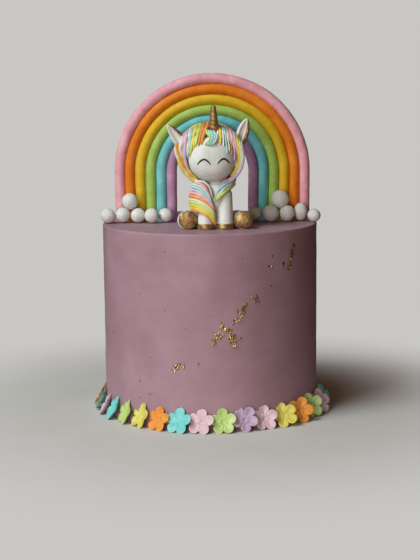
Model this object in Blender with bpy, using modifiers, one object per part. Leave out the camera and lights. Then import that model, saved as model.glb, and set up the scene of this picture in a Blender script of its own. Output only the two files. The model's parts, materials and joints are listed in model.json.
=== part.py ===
"""A tall round buttercream cake with a sugar-paste rainbow, cloud balls, a seated unicorn and a ring of flowers.

The cake stands on z = 0 with its axis on Z, and its front, where the unicorn sits, faces -Y. Metres throughout.
"""

import math
import random

import bmesh
import bpy
from mathutils import Matrix, Vector

# Driving dimensions
CAKE_RADIUS = 0.080
CAKE_HEIGHT = 0.140
RIM_ROUND = 0.0012
CAKE_SIDES = 80
GAP = 0.0003

RAINBOW_X = 0.0023
RAINBOW_Y = 0.0080
RAINBOW_TOP = 0.110
ROPE_PITCH = 0.0077
ROPE_RADIUS = (ROPE_PITCH - GAP) / 2
OUTER_HALF_WIDTH = 0.0731
# Steps along each straight foot of a rope, and round the widest bend. Each rope inside has one step fewer
FOOT_STEPS = 2
BEND_STEPS = 22

FLOWERS = 33
FLOWER_RADIUS = 0.0089
FLOWER_THICKNESS = 0.0013
FLOWER_FIRST = math.radians(5.6)
# How far a flower is turned from facing straight out, and how far it leans back, in degrees
FLOWER_TURN = -12
FLOWER_LEAN = 26
# A blossom's outline and hollow: each place as a share of the radius, then how far forward it is cupped
CENTRE_HOLLOW = 0.0009
INNER_RING = (0.30, 0.0001)
PETAL_DIP = (0.54, 0.0011)
PETAL_SIDE = (0.90, 0.0024)
PETAL_TIP = (1.00, 0.0019)
PETAL_SIDE_ANGLE = 0.40

HEAD_CENTRE = Vector((0.0020, -0.0450, 0.1900))
HEAD_RADII = Vector((0.0172, 0.0158, 0.0168))
CAP_CENTRE = Vector((0.0003, -0.0395, 0.1930))
CAP_RADII = Vector((0.0224, 0.0185, 0.0207))
BODY_CENTRE = Vector((0.0030, -0.0400, 0.1560))
BODY_RADII = Vector((0.0128, 0.0115, 0.0200))
BODY_TAPER = 0.12
LOCK_CENTRE = Vector((-0.0040, -0.0490, 0.1640))
LOCK_RADII = Vector((0.0088, 0.0068, 0.0115))
SIDE_LOCK_CENTRE = Vector((0.0118, -0.0475, 0.1720))
SIDE_LOCK_RADII = Vector((0.0056, 0.0058, 0.0052))
HORN_BASE = Vector((0.0032, -0.0490, 0.2065))
HORN_TIP = Vector((0.0034, -0.0520, 0.2278))
HORN_RADIUS = 0.0043
HORN_TAPER = 0.52
HORN_RIDGE = 0.00028
HORN_STEPS = 12
HORN_BLUNT = 0.55
# Each ear: foot, tip and width
EARS = (
    (Vector((-0.0125, -0.0415, 0.1962)), Vector((-0.0297, -0.0440, 0.2145)), 0.0100),
    (Vector((0.0145, -0.0415, 0.1972)), Vector((0.0276, -0.0440, 0.2180)), 0.0104),
)
EAR_DEPTH = 0.27
EAR_TAPER = 0.30
# Where an ear is widest, and half its length, as shares of the way from foot to tip
EAR_MIDDLE = 0.42
EAR_HALF_LENGTH = 0.62
# Front legs: x and radius. The heights are above the icing
FRONT_LEGS = {"unicorn_front_leg_left": (-0.0030, 0.0054), "unicorn_front_leg_right": (0.0106, 0.0059)}
FRONT_LEG_Y = -0.0500
FRONT_LEG_LEAN = 0.0014
FRONT_LEG_HEIGHTS = (0.0, 0.0042, 0.0130, 0.0230, 0.0280)
FRONT_LEG_WIDTHS = (1.08, 1.08, 0.97, 0.88, 0.50)
# Hind legs: the side, x and radius. They lie at one height, from the hip to the sole
HIND_LEGS = {"unicorn_hind_leg_left": (-1, -0.0164, 0.0066), "unicorn_hind_leg_right": (1, 0.0238, 0.0063)}
HIND_LEG_HEIGHT = 0.0066
HIND_LEG_STOPS = ((0.0040, -0.0360), (0.0010, -0.0425), (0.0, -0.0480), (0.0, -0.0515), (0.0, -0.0532))
HIND_LEG_WIDTHS = (0.75, 0.94, 1.00, 0.93, 0.62)

# Icing colours, as sRGB hex
COLOURS = {
    "icing": "9A7480",
    "pink": "E3AFC0",
    "orange": "E08A3A",
    "yellow": "DDBE3C",
    "green": "A8CC6E",
    "blue": "78C4C8",
    "purple": "A77FA6",
    "white": "E9E8E4",
    "gold": "A9824A",
}

# Rainbow ropes from the outside in
ROPES = ("pink", "orange", "yellow", "green", "blue", "purple")

# The balls stand in a row at each foot of the rainbow: x, y and radius in mm, then the height over width
ROW_BALLS = {
    "ball_left_1": (-75.6, -7.0, 5.6, 1.00),
    "ball_left_2": (-64.8, -4.2, 5.6, 1.00),
    "ball_left_3": (-53.3, -5.4, 5.4, 1.00),
    "ball_left_4": (-42.9, -8.4, 5.5, 1.00),
    "ball_left_5": (-32.9, -3.0, 5.4, 0.95),
    "ball_right_1": (34.0, -3.4, 5.2, 1.00),
    "ball_right_2": (45.4, -6.4, 6.1, 1.00),
    "ball_right_3": (57.8, -5.6, 5.6, 1.06),
    "ball_right_4": (68.0, -1.4, 5.0, 1.32),
    "ball_right_5": (77.2, -12.0, 4.9, 1.00),
}
# Each of these rests on two balls of the row: x, z and radius in mm
TOP_BALLS = {"ball_left_top": (-59.3, 155.9, 5.9), "ball_right_top": (52.6, 156.6, 6.4)}
TOP_BALL_Y = -0.0026

FLOWER_COLOURS = ("green", "purple", "pink", "yellow", "orange", "green", "pink", "blue", "orange",
                  "yellow", "blue", "pink", "green", "orange", "purple", "yellow", "blue", "pink",
                  "orange", "green", "yellow", "pink", "blue", "purple", "orange", "blue", "pink",
                  "blue", "green", "yellow", "orange", "blue", "pink")

# How far the others may be rolled and lean more or less, in degrees, and the least and largest size
FLOWER_ROLL = 17
FLOWER_SWAY = 3.5
FLOWER_SIZES = (0.95, 1.0)
# Flowers set differently, by index: turned from facing straight out, rolled and leaning back, in degrees
FLOWER_POSES = {
    0: (-9, -5, 26), 1: (-11, 34, 27), 2: (-12, 0, 24), 3: (-34, -23, 30), 4: (-38, 17, 23),
    5: (-34, -11, 25), 6: (-34, 6, 25), 7: (-28, 17, 26), 8: (-20, 0, 26), 26: (-14, 10, 26),
    27: (-13, 17, 28), 28: (-17, 0, 23), 29: (-18, 3, 24), 30: (-12, 0, 24), 31: (-12, 0, 30), 32: (-12, 3, 27),
}

# Gold leaf on the side: bearing from the front in degrees, height in mm, spread in mm, flakes
GOLD_PATCHES = (
    (-17.2, 45.6, 2.4, 4), (-6.9, 48.7, 0.6, 1), (1.4, 64.8, 1.2, 2), (4.8, 68.2, 1.6, 3),
    (5.6, 75.2, 1.3, 2), (8.8, 71.8, 1.9, 3), (10.4, 65.6, 1.5, 3), (12.9, 78.4, 1.6, 2),
    (16.1, 86.8, 2.4, 4), (22.6, 94.0, 1.6, 2), (40.6, 115.2, 0.9, 1), (44.3, 114.2, 1.6, 3),
    (45.8, 119.0, 1.7, 2), (46.8, 124.4, 1.9, 3),
)
GOLD_SEED = 5
FLAKE_SCATTER = 0.6
FLAKE_SIZES = (0.0007, 0.0012)
FLAKE_STRETCH = 1.4
FLAKE_SINK = 0.0002
FLAKE_HALF_THICKNESS = 0.0008

# Strands that hug the head: bearing and height in degrees at the start, the middle and the end
HEAD_STRANDS = (
    ((-15, 66), (-21, 45), (-23, 23)),
    ((-30, 66), (-38, 42), (-41, 14)),
    ((-46, 64), (-57, 36), (-58, 2)),
    ((-64, 60), (-74, 24), (-72, -20)),
    ((-86, 57), (-93, 8), (-88, -38)),
    ((-112, 58), (-116, 6), (-112, -46)),
    ((15, 66), (20, 45), (20, 22)),
    ((30, 66), (39, 42), (43, 10)),
    ((46, 64), (58, 36), (60, -4)),
    ((66, 60), (77, 22), (74, -24)),
    ((89, 57), (95, 8), (90, -40)),
    ((115, 58), (118, 6), (113, -46)),
    ((145, 62), (147, 8), (146, -50)),
    ((180, 66), (180, 10), (180, -50)),
    ((-144, 62), (-147, 8), (-146, -50)),
)
STRAND_RADIUS = 0.0028
# Strands of the lock over the chest lie evenly between these two, each by its start, middle and end
LOCK_STRANDS = 5
LOCK_TOP = (Vector((-0.0084, -0.0500, 0.1705)), Vector((-0.0002, -0.0560, 0.1625)),
            Vector((0.0040, -0.0572, 0.1462)))
LOCK_LOW = (Vector((-0.0120, -0.0500, 0.1560)), Vector((-0.0044, -0.0570, 0.1515)),
            Vector((0.0032, -0.0572, 0.1448)))
LOCK_STRAND_RADIUS = 0.0021
SIDE_LOCK_STRANDS = (
    (Vector((0.0155, -0.0470, 0.1740)), Vector((0.0108, -0.0535, 0.1700)), Vector((0.0050, -0.0545, 0.1640))),
    (Vector((0.0155, -0.0470, 0.1706)), Vector((0.0108, -0.0535, 0.1662)), Vector((0.0042, -0.0545, 0.1600))),
)
# Strands round each cheek: bearing and height in degrees beside the ear and on the cheek, then the end
# under the chin as its distance from the middle and its depth
CHEEK_STRANDS = (((80, 18), (72, -34), 0.0056, -0.0500), ((98, 18), (88, -37), 0.0086, -0.0470))
CHIN = (0.0022, 0.1718)
CHEEK_LIFT = 0.0007
CHEEK_STRAND_RADIUS = 0.0020
# Two strands of the tail, with z above the icing
TAIL_STRANDS = (
    (Vector((0.0030, -0.0305, 0.0080)), Vector((0.0060, -0.0230, 0.0060)), Vector((0.0140, -0.0215, 0.0022))),
    (Vector((0.0030, -0.0305, 0.0080)), Vector((0.0082, -0.0230, 0.0046)), Vector((0.0152, -0.0205, 0.0022))),
)
TAIL_STRAND_RADIUS = 0.0019
# How much thinner a strand is where it starts, and where it ends
STRAND_ROOT = 0.25
STRAND_TIP = 0.45


def srgb_to_linear(value):
    """One sRGB channel, 0 to 1, as linear light."""
    return value / 12.92 if value <= 0.04045 else ((value + 0.055) / 1.055) ** 2.4


def make_material(name, metallic=0.0, roughness=0.6):
    """A Principled material in the named icing colour."""
    channels = [srgb_to_linear(int(COLOURS[name][i:i + 2], 16) / 255) for i in (0, 2, 4)]
    material = bpy.data.materials.new("icing_" + name)
    material.use_nodes = True
    shader = material.node_tree.nodes["Principled BSDF"]
    shader.inputs["Base Color"].default_value = (*channels, 1.0)
    shader.inputs["Roughness"].default_value = roughness
    shader.inputs["Metallic"].default_value = metallic
    return material


def make_collection(name):
    """An empty collection in the scene."""
    collection = bpy.data.collections.new(name)
    bpy.context.scene.collection.children.link(collection)
    return collection


def object_from(bm, name, collection, material=None):
    """The bmesh as a smooth-shaded object in the collection."""
    mesh = bpy.data.meshes.new(name)
    bm.normal_update()
    bm.to_mesh(mesh)
    bm.free()
    mesh.shade_smooth()
    mesh.set_sharp_from_angle(angle=math.radians(40))
    obj = bpy.data.objects.new(name, mesh)
    collection.objects.link(obj)
    if material:
        mesh.materials.append(material)
    return obj


def baked(obj, name, collection, material=None):
    """A mesh copy of the object as its curve or modifiers show it. The object itself is removed."""
    bpy.context.view_layer.update()
    graph = bpy.context.evaluated_depsgraph_get()
    mesh = bpy.data.meshes.new_from_object(obj.evaluated_get(graph))
    mesh.transform(obj.matrix_world)
    bpy.data.objects.remove(obj)
    bm = bmesh.new()
    bm.from_mesh(mesh)
    bmesh.ops.remove_doubles(bm, verts=bm.verts, dist=0.00001)
    bpy.data.meshes.remove(mesh)
    return object_from(bm, name, collection, material)


def ellipsoid(name, centre, radii, collection, columns=16, rows=10, turn=None):
    """A sphere stretched to the three radii, optionally turned about its centre."""
    bm = bmesh.new()
    bmesh.ops.create_uvsphere(bm, u_segments=columns, v_segments=rows, radius=1.0)
    spin = (turn or Matrix.Identity(3)).to_4x4()
    shape = Matrix.Translation(centre) @ spin @ Matrix.Diagonal((*radii, 1.0))
    bmesh.ops.transform(bm, matrix=shape, verts=bm.verts)
    return object_from(bm, name, collection)


def rope(name, points, radii, collection, resolution=1):
    """A tube along the points whose radius follows radii, with closed ends, as a mesh."""
    curve = bpy.data.curves.new(name, "CURVE")
    curve.dimensions = "3D"
    curve.bevel_depth = 1.0
    curve.bevel_resolution = resolution
    curve.use_fill_caps = True
    spline = curve.splines.new("POLY")
    spline.points.add(len(points) - 1)
    for point, place, radius in zip(spline.points, points, radii):
        point.co = (*place, 1.0)
        point.radius = radius
    obj = bpy.data.objects.new(name + "_line", curve)
    collection.objects.link(obj)
    return baked(obj, name, collection)


def combine(obj, collection, operation, solver="EXACT"):
    """Joins or cuts the object with everything in the collection, whose objects are then removed."""
    modifier = obj.modifiers.new("combine", "BOOLEAN")
    modifier.operand_type = "COLLECTION"
    modifier.collection = collection
    modifier.operation = operation
    modifier.solver = solver
    material = obj.data.materials[0] if obj.data.materials else None
    name = obj.name
    home = obj.users_collection[0]
    obj.name = name + "_before"
    result = baked(obj, name, home, material)
    for helper in list(collection.objects):
        bpy.data.objects.remove(helper)
    return result


def drop_scraps(obj):
    """Keeps the object's largest piece only."""
    bm = bmesh.new()
    bm.from_mesh(obj.data)
    unseen = set(bm.verts)
    pieces = []
    while unseen:
        found = {unseen.pop()}
        edge = list(found)
        while edge:
            near = {e.other_vert(v) for v in edge for e in v.link_edges} - found
            found |= near
            edge = list(near)
        unseen -= found
        pieces.append(found)
    pieces.sort(key=len)
    for scrap in pieces[:-1]:
        bmesh.ops.delete(bm, geom=list(scrap), context="VERTS")
    bm.to_mesh(obj.data)
    bm.free()


def bezier(a, b, c, steps):
    """Points on the curve from a to c that passes near b."""
    turns = [i / steps for i in range(steps + 1)]
    bend = 2 * b - (a + c) / 2
    return [a * (1 - t) ** 2 + bend * 2 * t * (1 - t) + c * t * t for t in turns]


def on_cap(bearing, height, lift=0.0):
    """The point of the hair's surface at that bearing from the front and height above its middle, in degrees."""
    b, h = math.radians(bearing), math.radians(height)
    direction = Vector((math.sin(b) * math.cos(h), -math.cos(b) * math.cos(h), math.sin(h)))
    return CAP_CENTRE + Vector(d * (r + lift) for d, r in zip(direction, CAP_RADII))


def build_cake(parts, helpers, materials):
    """The iced cake as a turned profile, with the gold leaf on its side joined to it."""
    corner = [(CAKE_RADIUS - RIM_ROUND * (1 - math.sin(a)), CAKE_HEIGHT - RIM_ROUND * (1 - math.cos(a)))
              for a in (0.0, math.pi / 4, math.pi / 2)]
    profile = [(0.0, CAKE_HEIGHT), *corner, (CAKE_RADIUS, 0.0), (0.0, 0.0)]
    mesh = bpy.data.meshes.new("cake_profile")
    mesh.from_pydata([(r, 0.0, z) for r, z in profile],
                     [(i, i + 1) for i in range(len(profile) - 1)], [])
    turned = bpy.data.objects.new("cake_profile", mesh)
    parts.objects.link(turned)
    screw = turned.modifiers.new("turn", "SCREW")
    screw.steps = screw.render_steps = CAKE_SIDES
    screw.use_merge_vertices = True
    screw.merge_threshold = 0.00001
    cake = baked(turned, "cake", parts, materials["icing"])
    chance = random.Random(GOLD_SEED)
    for bearing, height, spread, flakes in GOLD_PATCHES:
        for _ in range(flakes):
            angle = math.radians(bearing) + chance.gauss(0, FLAKE_SCATTER) * spread * 0.001 / CAKE_RADIUS
            z = height * 0.001 + chance.gauss(0, FLAKE_SCATTER) * spread * 0.001
            size = chance.uniform(*FLAKE_SIZES)
            place = Vector((math.sin(angle), -math.cos(angle), 0.0)) * (CAKE_RADIUS - FLAKE_SINK)
            place.z = z
            turn = Matrix.Rotation(angle, 3, "Z") @ Matrix.Rotation(chance.uniform(0, math.pi), 3, "Y")
            bm = bmesh.new()
            bmesh.ops.create_icosphere(bm, subdivisions=1, radius=1.0)
            shape = Matrix.Translation(place) @ turn.to_4x4()
            shape = shape @ Matrix.Diagonal((size * FLAKE_STRETCH, FLAKE_HALF_THICKNESS, size, 1.0))
            bmesh.ops.transform(bm, matrix=shape, verts=bm.verts)
            object_from(bm, "flake", helpers)
    drop_scraps(combine(cake, helpers, "UNION"))


def build_rainbow(parts, materials):
    """Six ropes bent side by side into arches, standing on the cake."""
    foot = CAKE_HEIGHT + GAP
    for index, colour in enumerate(ROPES):
        half = OUTER_HALF_WIDTH - ROPE_PITCH * (index + 0.5)
        crown = CAKE_HEIGHT + RAINBOW_TOP - ROPE_PITCH * (index + 0.5)
        spring = crown - half
        arc_steps = BEND_STEPS - index
        legs = [foot + (spring - foot) * i / FOOT_STEPS for i in range(FOOT_STEPS)]
        turns = [math.pi * i / arc_steps for i in range(arc_steps + 1)]
        arch = [(-half * math.cos(t), spring + half * math.sin(t)) for t in turns]
        line = [(-half, z) for z in legs] + arch + [(half, z) for z in reversed(legs)]
        curve = bpy.data.curves.new("rainbow_" + colour, "CURVE")
        curve.dimensions = "3D"
        curve.bevel_depth = ROPE_RADIUS
        curve.bevel_resolution = 2
        curve.use_fill_caps = True
        curve.materials.append(materials[colour])
        spline = curve.splines.new("POLY")
        spline.points.add(len(line) - 1)
        for point, (x, z) in zip(spline.points, line):
            point.co = (x, 0.0, z, 1.0)
        arch_object = bpy.data.objects.new("rainbow_" + colour, curve)
        arch_object.location = (RAINBOW_X, RAINBOW_Y, 0.0)
        parts.objects.link(arch_object)


def build_balls(parts, materials):
    """The rolled balls that stand for clouds, in a row at each foot of the rainbow with one on top."""
    floor = (CAKE_HEIGHT + GAP) * 1000
    places = {name: (Vector((x, y, floor + r * tall)) * 0.001, r * 0.001, tall)
              for name, (x, y, r, tall) in ROW_BALLS.items()}
    for name, (x, z, r) in TOP_BALLS.items():
        places[name] = (Vector((x * 0.001, TOP_BALL_Y, z * 0.001)), r * 0.001, 1.0)
    for name, (centre, radius, tall) in places.items():
        ball = ellipsoid(name, Vector(), (radius, radius, radius * tall), parts, 10, 7)
        ball.location = centre
        ball.data.materials.append(materials["white"])


def flower_surface():
    """The front face of a cut-out blossom in the XZ plane, cupped towards -Y, as an open sheet."""
    bm = bmesh.new()
    centre = bm.verts.new((0.0, CENTRE_HOLLOW, 0.0))

    def at(angle, place):
        share, forward = place
        reach = FLOWER_RADIUS * share
        return bm.verts.new((math.sin(angle) * reach, -forward, math.cos(angle) * reach))

    inner, outer = [], []
    for petal in range(5):
        axis = petal * math.tau / 5
        inner.append(at(axis - math.tau / 10, INNER_RING))
        outer.append(at(axis - math.tau / 10, PETAL_DIP))
        outer.append(at(axis - PETAL_SIDE_ANGLE, PETAL_SIDE))
        outer.append(at(axis, PETAL_TIP))
        outer.append(at(axis + PETAL_SIDE_ANGLE, PETAL_SIDE))
    for petal in range(5):
        here, after = inner[petal], inner[(petal + 1) % 5]
        dip, left, tip, right = outer[4 * petal:4 * petal + 4]
        next_dip = outer[(4 * petal + 4) % 20]
        for face in ((centre, here, after), (here, dip, left), (here, left, tip),
                     (here, tip, after), (after, tip, right), (after, right, next_dip)):
            bm.faces.new(face)
    bmesh.ops.recalc_face_normals(bm, faces=bm.faces)
    return bm


def build_flowers(parts, materials):
    """The ring of blossoms that lean on the foot of the cake, each turned a little to overlap the next."""
    chance = random.Random(3)
    for index in range(FLOWERS):
        bearing = FLOWER_FIRST + index * math.tau / FLOWERS
        roll = chance.uniform(-FLOWER_ROLL, FLOWER_ROLL)
        usual = (FLOWER_TURN, roll, FLOWER_LEAN + chance.uniform(-FLOWER_SWAY, FLOWER_SWAY))
        facing, roll, lean = (math.radians(a) for a in FLOWER_POSES.get(index, usual))
        size = chance.uniform(*FLOWER_SIZES)
        colour = FLOWER_COLOURS[index]
        flower = object_from(flower_surface(), "flower_%02d" % (index + 1), parts, materials[colour])
        flower.data.transform(Matrix.Rotation(roll, 4, "Y") @ Matrix.Scale(size, 4))
        sheet = flower.modifiers.new("thickness", "SOLIDIFY")
        sheet.thickness = FLOWER_THICKNESS
        sheet.offset = 0.0
        turn = Matrix.Rotation(bearing + facing, 3, "Z") @ Matrix.Rotation(-lean, 3, "X")
        flower.rotation_euler = turn.to_euler()
        flower.location = (0.0, 0.0, 0.0)
        stand_against_cake(flower, bearing)


def stand_against_cake(flower, bearing):
    """Sets the flower just above the floor and just clear of the cake's side, at its bearing."""
    bpy.context.view_layer.update()
    graph = bpy.context.evaluated_depsgraph_get()
    evaluated = flower.evaluated_get(graph)
    mesh = evaluated.to_mesh()
    points = [evaluated.matrix_world @ v.co for v in mesh.vertices]
    evaluated.to_mesh_clear()
    outward = Vector((math.sin(bearing), -math.cos(bearing), 0.0))
    lift = GAP - min(p.z for p in points)
    reach = CAKE_RADIUS
    while min((p + outward * reach).xy.length for p in points) < CAKE_RADIUS + GAP:
        reach += 0.0001
    flower.location = outward * reach + Vector((0.0, 0.0, lift))


def make_ear(name, foot, tip, width, collection, grow=0.0):
    """A pointed ear from foot to tip: a flattened cone, rounded like a leaf."""
    along = tip - foot
    middle = foot + along * EAR_MIDDLE
    turn = along.to_track_quat("Z", "Y").to_matrix()
    radii = (width / 2 + grow, width * EAR_DEPTH + grow, along.length * EAR_HALF_LENGTH + grow)
    ear = ellipsoid(name, middle, radii, collection, 8, 7, turn)
    pull = turn @ Vector((0.0, 0.0, 1.0))
    for vertex in ear.data.vertices:
        share = (vertex.co - middle).dot(pull) / radii[2]
        if share > 0:
            axis_point = middle + pull * (vertex.co - middle).dot(pull)
            vertex.co = axis_point + (vertex.co - axis_point) * (1 - EAR_TAPER * share)
    return ear


def make_head(name, collection, helpers, grow=0.0):
    """The round head with its two ears joined on."""
    radii = HEAD_RADII + Vector((grow, grow, grow))
    head = ellipsoid(name, HEAD_CENTRE, radii, collection, 14, 10)
    for foot, tip, width in EARS:
        make_ear("ear", foot, tip, width, helpers, grow)
    return combine(head, helpers, "UNION")


def make_front_leg(name, x, radius, collection, grow=0.0):
    """A straight front leg that widens a little towards the hoof."""
    heights = [CAKE_HEIGHT + GAP + rise for rise in FRONT_LEG_HEIGHTS]
    heights[0] -= grow
    heights[-1] += grow
    points = [Vector((x, FRONT_LEG_Y + FRONT_LEG_LEAN * max(i - 1, 0), z)) for i, z in enumerate(heights)]
    return rope(name, points, [radius * w + grow for w in FRONT_LEG_WIDTHS], collection, 3)


def make_hind_leg(name, side, x, radius, collection, grow=0.0):
    """A hind leg that lies on the cake, with the sole of its round hoof towards the front."""
    z = CAKE_HEIGHT + GAP + HIND_LEG_HEIGHT
    points = [Vector((x - side * inward, y, z)) for inward, y in HIND_LEG_STOPS]
    points[-1].y -= grow
    return rope(name, points, [radius * w + grow for w in HIND_LEG_WIDTHS], collection, 3)


def make_horn(name, collection, grow=0.0):
    """The tapering horn with rings pressed into it and a blunt tip."""
    points, radii = [], []
    for i in range(HORN_STEPS + 1):
        t = i / HORN_STEPS
        ridge = HORN_RIDGE * (1 if i % 2 else -1)
        points.append(HORN_BASE.lerp(HORN_TIP, t))
        end = HORN_BLUNT if i == HORN_STEPS else 1.0
        radii.append(HORN_RADIUS * (1 - HORN_TAPER * t) * end + ridge + grow)
    return rope(name, points, radii, collection, 2)


def make_body(name, collection, grow=0.0):
    """The seated trunk, wider at the seat than at the neck."""
    radii = BODY_RADII + Vector((grow, grow, grow))
    body = ellipsoid(name, BODY_CENTRE, radii, collection, 12, 9)
    floor = CAKE_HEIGHT + GAP
    for vertex in body.data.vertices:
        share = (vertex.co.z - BODY_CENTRE.z) / BODY_RADII.z
        if share > 0:
            vertex.co.x = BODY_CENTRE.x + (vertex.co.x - BODY_CENTRE.x) * (1 - BODY_TAPER * share)
        vertex.co.z = max(vertex.co.z, floor)
    return body


def lock_paths():
    """Strands of the two locks that fall over the chest, each as (points, radius)."""
    paths = []
    for k in range(LOCK_STRANDS):
        stops = [top.lerp(low, k / (LOCK_STRANDS - 1)) for top, low in zip(LOCK_TOP, LOCK_LOW)]
        paths.append((bezier(*stops, 4), LOCK_STRAND_RADIUS))
    for stops in SIDE_LOCK_STRANDS:
        paths.append((bezier(*stops, 4), LOCK_STRAND_RADIUS))
    return paths


def cheek_paths():
    """Strands that run from beside each ear round the cheek and under the chin."""
    paths = []
    for side in (-1, 1):
        for start, cheek, reach, depth in CHEEK_STRANDS:
            stops = (on_cap(side * start[0], start[1], CHEEK_LIFT), on_cap(side * cheek[0], cheek[1], CHEEK_LIFT),
                     Vector((CHIN[0] + side * reach, depth, CHIN[1])))
            paths.append((bezier(*stops, 3), CHEEK_STRAND_RADIUS))
    return paths


def tail_paths():
    """A short tail that lies curled on the cake behind the trunk."""
    floor = Vector((0.0, 0.0, CAKE_HEIGHT + GAP))
    return [(bezier(*(floor + stop for stop in stops), 4), TAIL_STRAND_RADIUS) for stops in TAIL_STRANDS]


def add_strands(paths, helpers):
    """Tapered strands along the paths, as helpers to be joined."""
    for points, radius in paths:
        last = len(points) - 1
        radii = [radius * (1.0 - STRAND_TIP * (i / last) ** 3 - (STRAND_ROOT if i == 0 else 0.0))
                 for i in range(last + 1)]
        rope("strand", points, radii, helpers)


def build_unicorn(parts, helpers, cutters, materials):
    """The seated unicorn: trunk, head with ears, horn, four legs and the mane, each cut clear of the others."""
    def add_legs(collection, grow):
        for name, (x, radius) in FRONT_LEGS.items():
            make_front_leg(name + ("_cutter" if grow else ""), x, radius, collection, grow)
        for name, (side, x, radius) in HIND_LEGS.items():
            make_hind_leg(name + ("_cutter" if grow else ""), side, x, radius, collection, grow)

    add_legs(parts, 0.0)
    make_horn("unicorn_horn", parts)
    head = make_head("unicorn_head", parts, helpers)
    make_horn("horn_cutter", cutters, GAP)
    combine(head, cutters, "DIFFERENCE")

    body = make_body("unicorn_body", parts)
    add_strands(tail_paths(), helpers)
    body = combine(body, helpers, "UNION")
    add_legs(cutters, GAP)
    make_head("head_cutter", cutters, helpers, GAP)
    body = combine(body, cutters, "DIFFERENCE")
    drop_scraps(body)

    mane = ellipsoid("unicorn_mane", CAP_CENTRE, CAP_RADII, parts, 12, 8)
    strands = []
    for stops in HEAD_STRANDS:
        start, middle, end = (on_cap(bearing, height) for bearing, height in stops)
        strands.append((bezier(start, middle, end, 3), STRAND_RADIUS))
    add_strands(strands + cheek_paths() + lock_paths(), helpers)
    ellipsoid("lock", LOCK_CENTRE, LOCK_RADII, helpers, 12, 8)
    ellipsoid("lock", SIDE_LOCK_CENTRE, SIDE_LOCK_RADII, helpers, 10, 6)
    mane = combine(mane, helpers, "UNION")
    make_head("head_cutter", cutters, helpers, GAP)
    make_horn("horn_cutter", cutters, GAP)
    make_body("body_cutter", cutters, GAP)
    add_legs(cutters, GAP)
    mane = combine(mane, cutters, "DIFFERENCE")
    drop_scraps(mane)

    for obj in parts.objects:
        if obj.name.startswith("unicorn") and not obj.data.materials:
            slot = "gold" if obj.name == "unicorn_horn" else "white"
            obj.data.materials.append(materials["green" if obj.name == "unicorn_mane" else slot])


def main():
    for obj in list(bpy.data.objects):
        bpy.data.objects.remove(obj)
    materials = {name: make_material(name) for name in COLOURS if name != "gold"}
    materials["gold"] = make_material("gold", metallic=0.8, roughness=0.35)
    parts = make_collection("unicorn_cake")
    helpers = make_collection("joined")
    cutters = make_collection("cutters")
    build_cake(parts, helpers, materials)
    build_rainbow(parts, materials)
    build_balls(parts, materials)
    build_flowers(parts, materials)
    build_unicorn(parts, helpers, cutters, materials)


main()
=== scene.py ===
"""The finish of the unicorn cake: mauve buttercream, gold leaf, a sugar-paste rainbow, clouds, blossoms and
the seated unicorn."""

import json
import math
import random

import bmesh
import bpy
import numpy as np
from mathutils import Matrix, Vector, noise


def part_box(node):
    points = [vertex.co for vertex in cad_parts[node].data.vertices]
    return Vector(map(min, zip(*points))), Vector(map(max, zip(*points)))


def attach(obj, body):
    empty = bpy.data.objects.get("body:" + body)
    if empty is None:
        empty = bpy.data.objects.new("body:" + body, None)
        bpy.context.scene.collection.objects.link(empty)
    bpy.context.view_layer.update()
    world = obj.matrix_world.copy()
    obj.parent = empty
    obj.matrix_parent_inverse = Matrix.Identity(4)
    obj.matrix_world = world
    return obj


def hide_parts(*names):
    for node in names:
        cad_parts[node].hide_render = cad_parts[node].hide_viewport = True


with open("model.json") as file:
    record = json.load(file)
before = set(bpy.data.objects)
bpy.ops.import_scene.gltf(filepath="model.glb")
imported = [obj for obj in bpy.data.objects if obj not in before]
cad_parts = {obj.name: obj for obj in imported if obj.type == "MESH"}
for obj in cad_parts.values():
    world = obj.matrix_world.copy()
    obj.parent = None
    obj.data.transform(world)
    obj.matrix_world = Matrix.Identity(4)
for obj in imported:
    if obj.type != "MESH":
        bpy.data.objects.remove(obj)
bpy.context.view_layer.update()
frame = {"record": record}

MM = 0.001

# The cake, in mm
CAKE_RADIUS = 80.0
CAKE_HEIGHT = 140.0
RIM_ROUND = 1.3
# The side grows less even over this height below the rim
RIM_FADE = 3.0
# How far what stands on the icing sinks into it
REST_SINK = 0.02

# The rainbow, in mm. It stands upright on the cake, a little behind the middle
RAINBOW_X = 2.3
RAINBOW_Y = 8.0
RAINBOW_TOP = 110.0
OUTER_HALF_WIDTH = 73.1
# From the outside in
ROPES = ("pink", "orange", "yellow", "green", "blue", "purple")
ROPE_PITCH = 7.7
# The ropes are pressed against each other, so each is a little wider than its pitch
ROPE_HALF_WIDTH = 3.92
ROPE_HALF_DEPTH = 3.8
# How far the cut ends sink into the icing, and how far the top rope stays below the top of its solid
ROPE_SINK = 0.05
TOP_CLEARANCE = 0.2

# The unicorn, in mm
HEAD_CENTRE = np.array((2.0, -45.0, 190.0))
HEAD_RADII = np.array((17.2, 15.8, 16.8))
# Above 2, the front of the head is flatter than an egg
HEAD_FLATNESS = 2.6
# The muzzle's middle and spread, as x and z, and how far it stands forward
MUZZLE_MIDDLE = (2.0, 181.5)
MUZZLE_SPREAD = (7.5, 5.5)
MUZZLE_RISE = 0.4
HAIR_CENTRE = np.array((0.3, -39.5, 193.0))
HAIR_RADII = np.array((21.6, 18.5, 20.7))
# Under the strands: the cap opens this far round the face, and these fill the locks over chest and shoulder
FACE_OPENING = 3.2
LOCK_CENTRE = np.array((-4.4, -48.2, 163.0))
LOCK_RADII = np.array((7.8, 5.6, 11.3))
SHOULDER_CENTRE = np.array((12.0, -46.6, 172.0))
SHOULDER_RADII = np.array((5.6, 5.2, 5.0))
# How far forward the lock over the chest lies
CHEST_LOCK_Y = -56.2
BODY_CENTRE = np.array((3.0, -40.0, 156.0))
BODY_RADII = np.array((12.8, 11.5, 19.5))
CHEST_CENTRE = np.array((4.5, -46.5, 164.0))
CHEST_RADII = np.array((8.5, 8.0, 13.0))
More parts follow.
